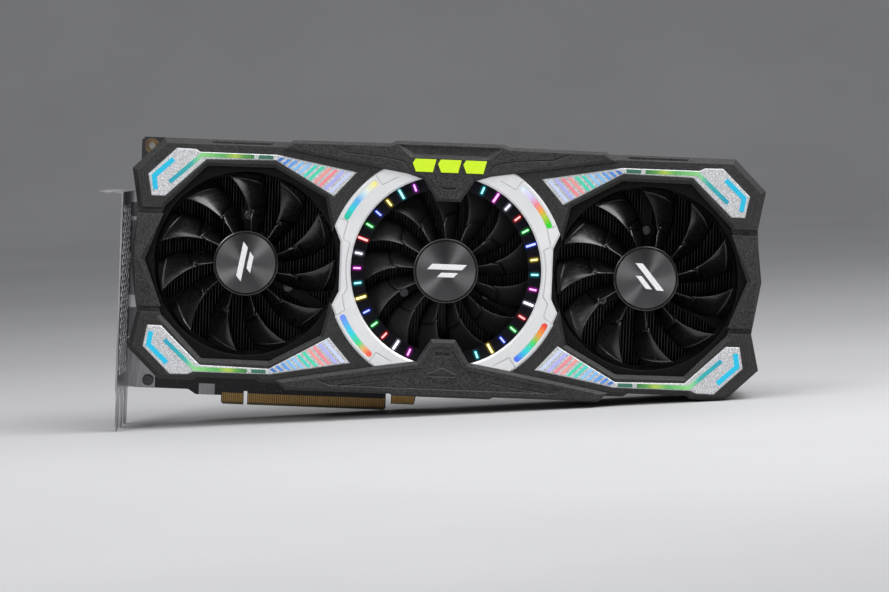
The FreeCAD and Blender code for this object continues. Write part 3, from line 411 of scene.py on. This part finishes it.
# ---- mesh helpers ----
def piece(name, mesh, body, material, smooth=False):
    """Links a mesh as a piece that rides a body and takes its finish from a slot."""
    made = bpy.data.objects.new(name, mesh)
    bpy.context.scene.collection.objects.link(made)
    mesh.materials.append(material)
    if smooth:
        mesh.shade_smooth()
        mesh.set_sharp_from_angle(angle=math.radians(35))
    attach(made, body)
    return made


def finished_mesh(name, build):
    """Runs build on a fresh bmesh and returns it as a mesh with outward faces."""
    bm = bmesh.new()
    build(bm)
    bmesh.ops.recalc_face_normals(bm, faces=bm.faces)
    mesh = bpy.data.meshes.new(name)
    bm.to_mesh(mesh)
    bm.free()
    return mesh


def paint(mesh, colour_at):
    """Fills the colour attribute tint from each vertex's place in millimetres about the middle fan."""
    layer = mesh.color_attributes.new("tint", "FLOAT_COLOR", "POINT")
    for vertex, entry in zip(mesh.vertices, layer.data):
        x = (vertex.co.x - HUB_X) / MM
        z = (vertex.co.z - HUB_Z) / MM
        entry.color = (*colour_at(x, z), 1.0)


def skin(bm, rows, capped=False):
    """Joins closed rows of vertices with quads, and may close the first and last row."""
    for low, high in zip(rows, rows[1:]):
        for i in range(len(low)):
            j = (i + 1) % len(low)
            bm.faces.new((low[i], low[j], high[j], high[i]))
    if capped:
        bm.faces.new(rows[0])
        bm.faces.new(rows[-1][::-1])


def bevelled_plate(bm, points, y_front, y_back, bevel):
    """Adds a plate from (x, z) points, with its front rim rounded over."""
    front = [bm.verts.new(at(x, y_front, z)) for x, z in points]
    back = [bm.verts.new(at(x, y_back, z)) for x, z in points]
    face = bm.faces.new(front)
    bm.faces.new(back[::-1])
    count = len(points)
    for i in range(count):
        j = (i + 1) % count
        bm.faces.new((front[i], back[i], back[j], front[j]))
    bmesh.ops.bevel(bm, geom=list(face.edges), offset=bevel * MM, segments=2, profile=0.5, affect="EDGES")


def ribbon(bm, path, width, y_front, y_back, step=1.2, bevel=0.2):
    """Adds a bar that follows a path of (x, z) points, cut finely so that its colour can change."""
    fine = []
    for (ax, az), (bx, bz) in zip(path, path[1:]):
        pieces = max(1, int(math.hypot(bx - ax, bz - az) / step))
        fine += [(ax + (bx - ax) * i / pieces, az + (bz - az) * i / pieces) for i in range(pieces)]
    fine.append(path[-1])
    rows = []
    for i, (x, z) in enumerate(fine):
        before = Vector(fine[max(i - 1, 0)])
        here = Vector((x, z))
        after = Vector(fine[min(i + 1, len(fine) - 1)])
        first = (here - before).normalized() if i else (after - here).normalized()
        second = (after - here).normalized() if i < len(fine) - 1 else first
        n1 = Vector((-first.y, first.x))
        n2 = Vector((-second.y, second.x))
        mitre = (n1 + n2) / (1.0 + n1.dot(n2))
        row = []
        for across, y in ((-0.5, y_back), (-0.5, y_front + bevel), (-0.5 + bevel / width, y_front),
                          (0.5 - bevel / width, y_front), (0.5, y_front + bevel), (0.5, y_back)):
            spot = here + mitre * (across * width)
            row.append(bm.verts.new(at(spot.x, y, spot.y)))
        rows.append(row)
    skin(bm, rows, capped=True)


def mix_colours(stops, value):
    """Colour at a value on a list of (value, colour) stops."""
    if value <= stops[0][0]:
        return stops[0][1]
    for (v0, c0), (v1, c1) in zip(stops, stops[1:]):
        if value <= v1:
            share = (value - v0) / (v1 - v0)
            return tuple(a + (b - a) * share for a, b in zip(c0, c1))
    return stops[-1][1]


# ---- fans ----
ROOT_R = 15.2
TIP_R = 44.7
HUB_R = 16.2
CUP_INNER_R = 14.2
HUB_BACK_Y = -34.6
CUP_FLOOR_Y = CAP_Y + 2.4
BLADE_FRONT_Y = CAP_Y + 2.4
BLADE_ROWS = 14
BLADE_COLUMNS = 8
CAP_R = 15.4
MARK_BARS = ([(-9.5, 0.6), (8.0, 0.6), (10.5, 3.4), (-7.0, 3.4)],
             [(-4.5, -3.2), (4.0, -3.2), (6.2, -0.9), (-2.3, -0.9)])


class Blade:
    """Shape of one fan's blades."""

    def __init__(self, sweep, power, root_width, tip_width):
        self.sweep = sweep
        self.power = power
        self.root_width = root_width
        self.tip_width = tip_width

    def spot(self, u, v):
        """Radius, angle and depth on the middle surface; u runs outwards, v from the leading edge."""
        radius = ROOT_R + (TIP_R - ROOT_R) * u
        lead = self.sweep * u ** self.power
        width = self.root_width + (self.tip_width - self.root_width) * u ** 0.7
        angle = lead - width * v
        lead_y = BLADE_FRONT_Y + 1.0 * u
        trail_y = HUB_BACK_Y - 1.6 * u
        curve = v ** 1.15
        return radius, angle, lead_y + (trail_y - lead_y) * curve


def add_blade(bm, shape, start, centre_x):
    """Adds one blade as a closed, thin, cambered shell."""
    def point(u, v, side):
        radius, angle, y = shape.spot(u, v)
        thickness = (1.25 - 0.5 * u) * (0.35 + 0.65 * math.sin(math.pi * min(max(v, 0.04), 0.96)) ** 0.5)
        pitch = math.radians(52 - 20 * u)
        x, z = polar(radius, angle + start + math.degrees(side * thickness / 2 * math.sin(pitch) / radius))
        return bm.verts.new(at(centre_x + x, y - side * thickness / 2 * math.cos(pitch), z))

    def sheet(side):
        return [[point(i / BLADE_ROWS, j / BLADE_COLUMNS, side) for j in range(BLADE_COLUMNS + 1)]
                for i in range(BLADE_ROWS + 1)]

    front = sheet(1)
    back = sheet(-1)
    for i in range(BLADE_ROWS):
        for j in range(BLADE_COLUMNS):
            bm.faces.new((front[i][j], front[i + 1][j], front[i + 1][j + 1], front[i][j + 1]))
            bm.faces.new((back[i][j], back[i][j + 1], back[i + 1][j + 1], back[i + 1][j]))
        for j in (0, BLADE_COLUMNS):
            bm.faces.new((front[i][j], front[i + 1][j], back[i + 1][j], back[i][j]))
    for i in (0, BLADE_ROWS):
        for j in range(BLADE_COLUMNS):
            bm.faces.new((front[i][j], front[i][j + 1], back[i][j + 1], back[i][j]))


def add_rib(bm, shape, start, centre_x, lead_u, trail_u, height):
    """Adds a thin fence that crosses a blade's front from its leading to its trailing edge."""
    steps = 8
    rows = []
    for i in range(steps + 1):
        v = i / steps
        u = lead_u + (trail_u - lead_u) * v
        radius, angle, y = shape.spot(u, v)
        rise = height * math.sin(math.pi * (0.12 + 0.76 * v))
        row = []
        for offset, lift in ((-0.28, 0.0), (-0.18, -rise), (0.18, -rise), (0.28, 0.0)):
            x, z = polar(radius + offset, angle + start)
            row.append(bm.verts.new(at(centre_x + x, y + lift, z)))
        rows.append(row)
    skin(bm, rows, capped=True)


def add_lathe(bm, centre_x, profile, segments=96):
    """Adds a solid of revolution about a fan's axis from (radius, depth) points."""
    rings = []
    for radius, y in profile:
        points = circle(radius, segments) if radius else [(0, 0)]
        rings.append([bm.verts.new(at(centre_x + x, y, z)) for x, z in points])
    for low, high in zip(rings, rings[1:]):
        for i in range(segments):
            j = (i + 1) % segments
            corners = [low[i % len(low)], low[j % len(low)], high[j % len(high)], high[i % len(high)]]
            bm.faces.new(list(dict.fromkeys(corners)))


def build_fan(side, centre_x, blades, lead, shape, ribs, mark_angle):
    """Impeller, spun cap and plain mark of one fan."""
    body = "fan_%s_rotor" % side

    def rotor(bm):
        add_lathe(bm, centre_x, [
            (0, CUP_FLOOR_Y), (CUP_INNER_R, CUP_FLOOR_Y), (CUP_INNER_R, HUB_BACK_Y + 1.0),
            (HUB_R - 0.2, HUB_BACK_Y + 1.0), (HUB_R, HUB_BACK_Y), (HUB_R, CAP_Y + 2.0),
            (HUB_R + 0.15, CAP_Y + 1.4), (HUB_R, CAP_Y + 0.75), (HUB_R - 0.45, CAP_Y + 0.6),
            (HUB_R - 0.6, CAP_Y + 0.95), (0, CAP_Y + 0.95)])
        for i in range(blades):
            start = lead + 360.0 / blades * i
            add_blade(bm, shape, start, centre_x)
            for lead_u, trail_u, height in ribs:
                add_rib(bm, shape, start, centre_x, lead_u, trail_u, height)

    finish = MATERIALS["fan"] if ribs else MATERIALS["satin_fan"]
    made = piece("impeller_detail_" + side, finished_mesh("impeller_" + side, rotor), body,
                 finish, smooth=True)
    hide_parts("impeller_" + side)

    def cap(bm):
        add_lathe(bm, centre_x, [
            (0, CAP_Y + 0.02), (5.0, CAP_Y + 0.06), (CAP_R - 0.8, CAP_Y + 0.12), (CAP_R - 0.5, CAP_Y + 0.14),
            (CAP_R - 0.1, CAP_Y + 0.5), (CAP_R, CAP_Y + 0.9), (0, CAP_Y + 0.94)])

    metal_cap = spun_metal("spun_cap_" + side, 0.10, 0.20, HUB_X + centre_x * MM)
    made = piece("cap_detail_" + side, finished_mesh("cap_" + side, cap), body, metal_cap,
                 smooth=True)
    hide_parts("hub_cap_" + side)

    def mark(bm):
        turn = math.radians(mark_angle)
        for bar in MARK_BARS:
            points = [(centre_x + x * math.cos(turn) - z * math.sin(turn),
                       x * math.sin(turn) + z * math.cos(turn)) for x, z in bar]
            bevelled_plate(bm, points, CAP_Y - 0.2, CAP_Y + 0.1, 0.1)

    made = piece("mark_detail_" + side, finished_mesh("mark_" + side, mark), body,
                 MATERIALS["white"])
    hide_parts("hub_mark_" + side)


RIBS = ((0.97, 0.86, 1.5), (0.40, 0.27, 1.1))
OUTER_BLADE = Blade(sweep=20.0, power=1.3, root_width=13.0, tip_width=20.0)
MIDDLE_BLADE = Blade(sweep=16.5, power=1.9, root_width=13.0, tip_width=20.0)
build_fan("left", -FAN_PITCH, 11, 16.9, OUTER_BLADE, RIBS, 80.0)
build_fan("center", 0.0, 13, 9.7, MIDDLE_BLADE, (), 0.0)
build_fan("right", FAN_PITCH, 11, 8.5, OUTER_BLADE, RIBS, -50.0)

# ---- lights ----
PURPLE = (0.62, 0.04, 0.90)
TEAL = (0.01, 0.62, 0.70)
YELLOW = (0.90, 0.68, 0.03)
BLUE = (0.02, 0.08, 0.95)
GREEN = (0.02, 0.75, 0.10)
RED = (0.95, 0.03, 0.03)
WHITE = (0.78, 0.70, 0.95)
MAGENTA = (0.85, 0.02, 0.75)
LEFT_TICKS = (PURPLE, TEAL, YELLOW, BLUE, GREEN, RED, WHITE, MAGENTA, TEAL, YELLOW, BLUE, GREEN, RED,
              WHITE, MAGENTA)
RIGHT_TICKS = (TEAL, MAGENTA, WHITE, RED, GREEN, BLUE, YELLOW, TEAL, MAGENTA, WHITE, RED, GREEN, BLUE,
               YELLOW, TEAL)
TICK_R = 44.5
FIRST_TICK = 67.6
TICK_STEP = 9.66
SMALL_TICK = {"half_length": 1.75, "width": 0.8, "halo_half_length": 1.4}
LARGE_TICK = {"half_length": 2.5, "width": 1.05, "halo_half_length": 2.2}
LENS_INNER_R = 41.2
LENS_OUTER_R = 47.65
LENS_CROWN = 0.25
LENS_DEPTH = 3.5
LENS_SEGMENTS = 480
LENS_RINGS = 8
HALO_REACH = 6


def all_ticks():
    """Angle, colour and size of every tick."""
    ticks = []
    for colours, mirror in ((LEFT_TICKS, True), (RIGHT_TICKS, False)):
        for i, colour in enumerate(colours):
            angle = FIRST_TICK - TICK_STEP * i
            size = LARGE_TICK if i % 4 == 1 else SMALL_TICK
            ticks.append((180 - angle if mirror else angle, colour, size))
    return ticks


def tick_mesh():
    """Rounded radial bars."""
    def build(bm):
        for angle, _, size in all_ticks():
            half = size["half_length"]
            ribbon(bm, [polar(TICK_R - half, angle), polar(TICK_R + half, angle)], size["width"],
                   LENS_Y - 0.13, LENS_Y + 0.1, bevel=0.12)
    mesh = finished_mesh("ticks", build)

    def colour_at(x, z):
        angle = math.degrees(math.atan2(z, x))
        nearest = min(all_ticks(), key=lambda tick: abs(turn_between(tick[0], angle)))
        return tuple(0.30 + 0.70 * part for part in nearest[1])
    paint(mesh, colour_at)
    return mesh


made = piece("tick_lights", tick_mesh(), "card", MATERIALS["lit_bright"])
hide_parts("led_ticks")


def lens_mesh():
    """Smoked ring, cut finely so that each tick's halo shows on it."""
    def ring(bm, radius, y):
        return [bm.verts.new(at(x, y, z)) for x, z in circle(radius, LENS_SEGMENTS)]

    def build(bm):
        rows = []
        for j in range(LENS_RINGS + 1):
            crown = LENS_CROWN * math.sin(math.pi * j / LENS_RINGS)
            radius = LENS_INNER_R + (LENS_OUTER_R - LENS_INNER_R) * j / LENS_RINGS
            rows.append(ring(bm, radius, LENS_Y + LENS_CROWN - crown))
        rows += [ring(bm, radius, LENS_Y + LENS_DEPTH) for radius in (LENS_OUTER_R, LENS_INNER_R)]
        skin(bm, rows + rows[:1])
    mesh = finished_mesh("lens", build)
    ticks = all_ticks()

    def colour_at(x, z):
        radius = math.hypot(x, z)
        angle = math.degrees(math.atan2(z, x))
        total = (0.002, 0.002, 0.003)
        for tick_angle, colour, size in ticks:
            away = math.radians(abs(turn_between(tick_angle, angle))) * radius
            if away > HALO_REACH:
                continue
            along = max(0.0, abs(radius - TICK_R) - size["halo_half_length"])
            glow = 0.75 * math.exp(-(away * away) / 0.55 - along * along / 0.5)
            total = [t + c * glow for t, c in zip(total, colour)]
        return tuple(total)
    paint(mesh, colour_at)
    return mesh


made = piece("lens_ring", lens_mesh(), "card", MATERIALS["lens"], smooth=True)
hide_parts("led_ring")

# each lamp: middle angle, span, and colours by degrees from its middle
LAMPS = (
    (142.2, 22.0, [(-11, (1.0, 0.90, 0.30)), (-5, (0.80, 0.92, 0.90)), (1, (0.10, 0.45, 0.90)),
                   (6, (0.02, 0.65, 0.75)), (11, (0.0, 0.55, 0.35))]),
    (217.7, 23.0, [(-11, (0.16, 0.30, 1.0)), (-3, (0.02, 0.70, 0.85)), (4, (0.05, 0.75, 0.25)),
                   (8, (0.95, 0.45, 0.15)), (11, (0.95, 0.12, 0.06))]),
    (-37.8, 22.0, [(-11, (0.06, 0.16, 0.95)), (-5, (0.02, 0.70, 0.80)), (1, (0.06, 0.70, 0.12)),
                   (6, (0.95, 0.35, 0.04)), (11, (0.90, 0.06, 0.03))]),
    (37.7, 23.0, [(-11, (0.01, 0.70, 0.01)), (-6, (0.55, 0.65, 0.04)), (-3, (0.95, 0.40, 0.05)),
                  (1, (0.95, 0.25, 0.30)), (5, (0.70, 0.60, 0.95)), (11, (0.80, 0.88, 1.0))]),
)
LAMP_R = 56.4
LAMP_WIDTH = 2.8


def lamp_mesh():
    """Four pill-shaped lamps on the silver ring, each with its own run of colours."""
    front = RING_Y - 0.1
    back = RING_Y + 0.5

    def round_end(bm, centre, first_angle, step):
        points = []
        for i in range(9):
            x, z = polar(LAMP_WIDTH / 2, first_angle + i * step)
            points.append((centre[0] + x, centre[1] + z))
        bevelled_plate(bm, points, front, back, 0.3)

    def build(bm):
        for middle, span, stops in LAMPS:
            steps = 26
            path = [polar(LAMP_R, middle - span / 2 + span * i / steps) for i in range(steps + 1)]
            ribbon(bm, path, LAMP_WIDTH, front, back, step=9.0, bevel=0.35)
            round_end(bm, path[0], middle - span / 2, -22.5)
            round_end(bm, path[-1], middle + span / 2, 22.5)
    mesh = finished_mesh("lamps", build)

    def colour_at(x, z):
        angle = math.degrees(math.atan2(z, x))
        offsets = [(turn_between(angle, lamp[0]), lamp[2]) for lamp in LAMPS]
        offset, stops = min(offsets, key=lambda entry: abs(entry[0]))
        return mix_colours(stops, offset)
    paint(mesh, colour_at)
    return mesh


made = piece("ring_lamp_lenses", lamp_mesh(), "card", MATERIALS["lit"])
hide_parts("ring_lamps")

# ---- corner strips and ladder bars, as on the upper right panel ----
CYAN = (0.0, 0.56, 0.85)
DARK_GREEN = (0.03, 0.16, 0.10)
CORNER_PATH = [(138, 51), (147.4, 42.2), (146.4, 35.6)]
LONG_PATH = [(139.5, 39.5), (123.9, 53.6), (97.8, 53.6)]
SHORT_PATH = [(95.5, 53.6), (88.3, 53.6)]
BAR_START = 0.24
BAR_END = 0.76
LONG_STOPS = [(98, (0.03, 0.20, 0.05)), (103, (0.10, 0.35, 0.06)), (107, (0.45, 0.62, 0.06)),
              (113, (0.10, 0.45, 0.12)), (122, (0.25, 0.68, 0.22)), (125, (0.30, 0.72, 0.32)),
              (129, (0.02, 0.45, 0.42)), (139, (0.0, 0.38, 0.55))]
BAR_COLOURS = ((0.04, 0.18, 0.60), (0.08, 0.28, 0.75), (0.12, 0.38, 0.88), (0.24, 0.55, 0.95),
               (0.30, 0.62, 0.98), (0.06, 0.72, 0.58), (0.06, 0.75, 0.46), (0.95, 0.36, 0.34),
               (0.95, 0.28, 0.32), (0.48, 0.48, 1.0), (0.64, 0.72, 1.0))


def bar_line(share):
    """Upper and lower end of a ladder bar's line; share runs from the narrow end to the wide end."""
    upper = Vector((85.0 - 37.0 * share, 53.9 - 6.7 * share))
    lower = Vector((87.0 - 29.0 * share, 52.75 - 16.3 * share))
    return upper, lower


def bar_colour(x, z):
    """Colour of the ladder bar nearest to a point."""
    spot = Vector((abs(x), abs(z)))
    count = len(BAR_COLOURS)

    def distance(i):
        upper, lower = bar_line((i + 0.5) / count)
        along = (lower - upper).normalized()
        across = spot - upper
        return abs(along.x * across.y - along.y * across.x)
    return BAR_COLOURS[min(range(count), key=distance)]


def strips(side_x, side_z):
    """Every lit strip of one corner panel."""
    front = PANEL_Y - 0.28
    back = PANEL_Y + 0.2

    def flip(points):
        return [(side_x * x, side_z * z) for x, z in points]

    def along(path, width):
        return lambda bm: ribbon(bm, flip(path), width, front, back)

    def bars(bm):
        count = len(BAR_COLOURS)
        for i in range(count):
            upper_near, lower_near = bar_line((i + BAR_START) / count)
            upper_far, lower_far = bar_line((i + BAR_END) / count)
            bevelled_plate(bm, flip([upper_near, upper_far, lower_far, lower_near]), front, back, 0.15)

    dim = 1.0 if side_z < 0 else 0.95
    builds = (("corner", along(CORNER_PATH, 2.5), lambda x, z: CYAN),
              ("long", along(LONG_PATH, 2.1), lambda x, z: mix_colours(LONG_STOPS, abs(x))),
              ("short", along(SHORT_PATH, 1.9), lambda x, z: DARK_GREEN),
              ("bars", bars, bar_colour))
    place = ("upper" if side_z > 0 else "lower") + ("_right" if side_x > 0 else "_left")
    for label, build, colour in builds:
        mesh = finished_mesh(label, build)
        paint(mesh, lambda x, z: tuple(part * dim for part in colour(x, z)))
        made = piece("strip_%s_%s" % (label, place), mesh, "card", MATERIALS["lit"])
        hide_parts("light_strips_" + place)


for side_x in (-1, 1):
    for side_z in (-1, 1):
        strips(side_x, side_z)

# ---- badge ----
LIME = (0.66, 0.95, 0.0)
BLOCK_PITCH = 12.6
BLOCK_OUTLINE = ((-4.2, 49.4), (4.2, 49.4), (5.8, 55.8), (-4.6, 55.8), (-5.9, 53.6))


def badge_mesh():
    """Three plain slanted blocks."""
    def build(bm):
        for centre in (-BLOCK_PITCH, 0.0, BLOCK_PITCH):
            outline = [(centre + x, z) for x, z in BLOCK_OUTLINE]
            bevelled_plate(bm, outline, BRIDGE_Y - 0.75, BRIDGE_Y + 0.2, 0.3)
    mesh = finished_mesh("badge", build)
    paint(mesh, lambda x, z: LIME)
    return mesh


made = piece("badge_blocks", badge_mesh(), "card", MATERIALS["lit_badge"])
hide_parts("top_badge")

# ---- print on the board ----
LABEL_CORNERS = [(-125.4, -70.5), (-117.1, -70.5), (-117.1, -64.8), (-125.4, -64.8)]
BOARD_HOLE = (-153.8, 57.0)
HOLE_RINGS = ((1.95, 0.5), (2.85, 0.2), (3.55, 0.2))


def label_mesh():
    """Blank code label on the board, near the tongue."""
    return finished_mesh("label", lambda bm: bevelled_plate(bm, LABEL_CORNERS, -0.12, 0.0, 0.04))


def hole_ring_mesh():
    """Printed rings about the board's corner hole."""
    def build(bm):
        for radius, width in HOLE_RINGS:
            rows = []
            for edge, y in ((-0.5, 0.0), (-0.5, -0.05), (0.5, -0.05), (0.5, 0.0)):
                rows.append([bm.verts.new(at(BOARD_HOLE[0] + x, y, BOARD_HOLE[1] + z))
                             for x, z in circle(radius + edge * width, 48)])
            skin(bm, rows + rows[:1])
    return finished_mesh("hole_rings", build)


piece("board_label", label_mesh(), "card", MATERIALS["white"])
piece("board_hole_rings", hole_ring_mesh(), "card", MATERIALS["gold"])


# ---- stage, lights and camera; the stage's own sizes are in metres ----
BALANCE_X = HUB_X + 0.03
FLOOR_REACH = 3.0
FLOOR_BEND = 1.4
WALL_HEIGHT = 2.4
FLOOR_SEGMENTS = 96
CAMERA_DISTANCE = 1.6
CAMERA_PITCH = math.radians(2.75)
CAMERA_ROLL = math.radians(2.2)
CAMERA_LENS = 129.5
CAMERA_TARGET = at(-0.2, FRAME_Y, -12.3)


def resting_line(x_under):
    """Two (x, z) points of the model's lower hull on which it rests below x_under."""
    points = sorted({(round(v.co.x, 4), round(v.co.z, 4)) for n in NODES.values() for v in n.data.vertices})
    hull = []
    for p in points:
        while len(hull) > 1:
            (ax, az), (bx, bz) = hull[-2], hull[-1]
            if (bx - ax) * (p[1] - az) - (bz - az) * (p[0] - ax) > 0:
                break
            hull.pop()
        hull.append(p)
    for a, b in zip(hull, hull[1:]):
        if a[0] <= x_under <= b[0]:
            return a, b
    return hull[0], hull[-1]


def make_floor():
    """Pale studio floor that touches the two points the card rests on and curves up far away."""
    (ax, az), (bx, bz) = resting_line(BALANCE_X)
    slope = (bz - az) / (bx - ax)
    profile = [(FLOOR_REACH * i / 6, 0.0) for i in range(1, 7)]
    for i in range(1, 13):
        turn = math.radians(7.5 * i)
        profile.append((FLOOR_REACH + FLOOR_BEND * math.sin(turn), FLOOR_BEND * (1 - math.cos(turn))))
    profile.append((FLOOR_REACH + FLOOR_BEND, WALL_HEIGHT))
    points = [(HUB_X, 0.0, 0.0)]
    for radius, rise in profile:
        points += [(HUB_X + x, y, rise) for x, y in circle(radius, FLOOR_SEGMENTS)]
    faces = [(0, 1 + i, 1 + (i + 1) % FLOOR_SEGMENTS) for i in range(FLOOR_SEGMENTS)]
    for ring in range(len(profile) - 1):
        low = 1 + ring * FLOOR_SEGMENTS
        high = low + FLOOR_SEGMENTS
        for i in range(FLOOR_SEGMENTS):
            j = (i + 1) % FLOOR_SEGMENTS
            faces.append((low + i, high + i, high + j, low + j))
    mesh = bpy.data.meshes.new("floor")
    mesh.from_pydata([(x, y, az + (x - ax) * slope + z) for x, y, z in points], [], faces)
    mesh.shade_smooth()
    floor = bpy.data.objects.new("floor", mesh)
    bpy.context.scene.collection.objects.link(floor)
    material, tree, shader = start_material("pale_floor")
    cloud = noise(tree, object_coords(tree), 3.0, 3.0)
    tone = ramp(tree, cloud, [(0.3, (0.54, 0.54, 0.55)), (0.7, (0.58, 0.58, 0.59))])
    tree.links.new(tone, shader.inputs["Base Color"])
    shader.inputs["Roughness"].default_value = 0.9
    shader.inputs["Specular IOR Level"].default_value = 0.1
    mesh.materials.append(material)


def area_light(name, place, target, size, power):
    """Soft white rectangular light aimed at a target; places are millimetres about the middle fan."""
    data = bpy.data.lights.new(name, "AREA")
    data.shape = "RECTANGLE"
    data.size, data.size_y = size
    data.energy = power
    lamp = bpy.data.objects.new(name, data)
    bpy.context.scene.collection.objects.link(lamp)
    lamp.location = at(*place)
    lamp.rotation_euler = (at(*target) - lamp.location).to_track_quat("-Z", "Y").to_euler()


def make_world(strength):
    """Even pale light from all around."""
    world = bpy.data.worlds.new("studio")
    bpy.context.scene.world = world
    world.use_nodes = True
    background = world.node_tree.nodes["Background"]
    background.inputs["Color"].default_value = (0.80, 0.81, 0.83, 1.0)
    background.inputs["Strength"].default_value = strength


def make_camera():
    """Camera nearly face on, a little above the fans' axes, rolled so that the card's far end dips."""
    forward = Vector((0.0, math.cos(CAMERA_PITCH), -math.sin(CAMERA_PITCH)))
    up = Vector((-math.sin(CAMERA_ROLL), 0.0, math.cos(CAMERA_ROLL)))
    right = forward.cross(up).normalized()
    up = right.cross(forward).normalized()
    data = bpy.data.cameras.new("camera")
    data.lens = CAMERA_LENS
    data.sensor_width = 36.0
    data.clip_start = 0.01
    camera = bpy.data.objects.new("camera", data)
    bpy.context.scene.collection.objects.link(camera)
    camera.matrix_world = Matrix((right, up, -forward)).transposed().to_4x4()
    camera.location = CAMERA_TARGET - forward * CAMERA_DISTANCE
    bpy.context.scene.camera = camera


make_floor()
make_world(0.46)
area_light("overhead", (0, -190, 620), (0, -50, 0), (1.3, 0.35), 3.6)
area_light("key", (400, -470, 690), (0, -50, 0), (0.8, 0.5), 4.4)
area_light("left", (-560, -860, 420), (-40, -50, 0), (0.28, 0.28), 2.6)
area_light("back", (0, 700, 900), (0, 0, 0), (1.4, 0.6), 1.8)
make_camera()
bpy.context.scene.view_settings.view_transform = "Standard"
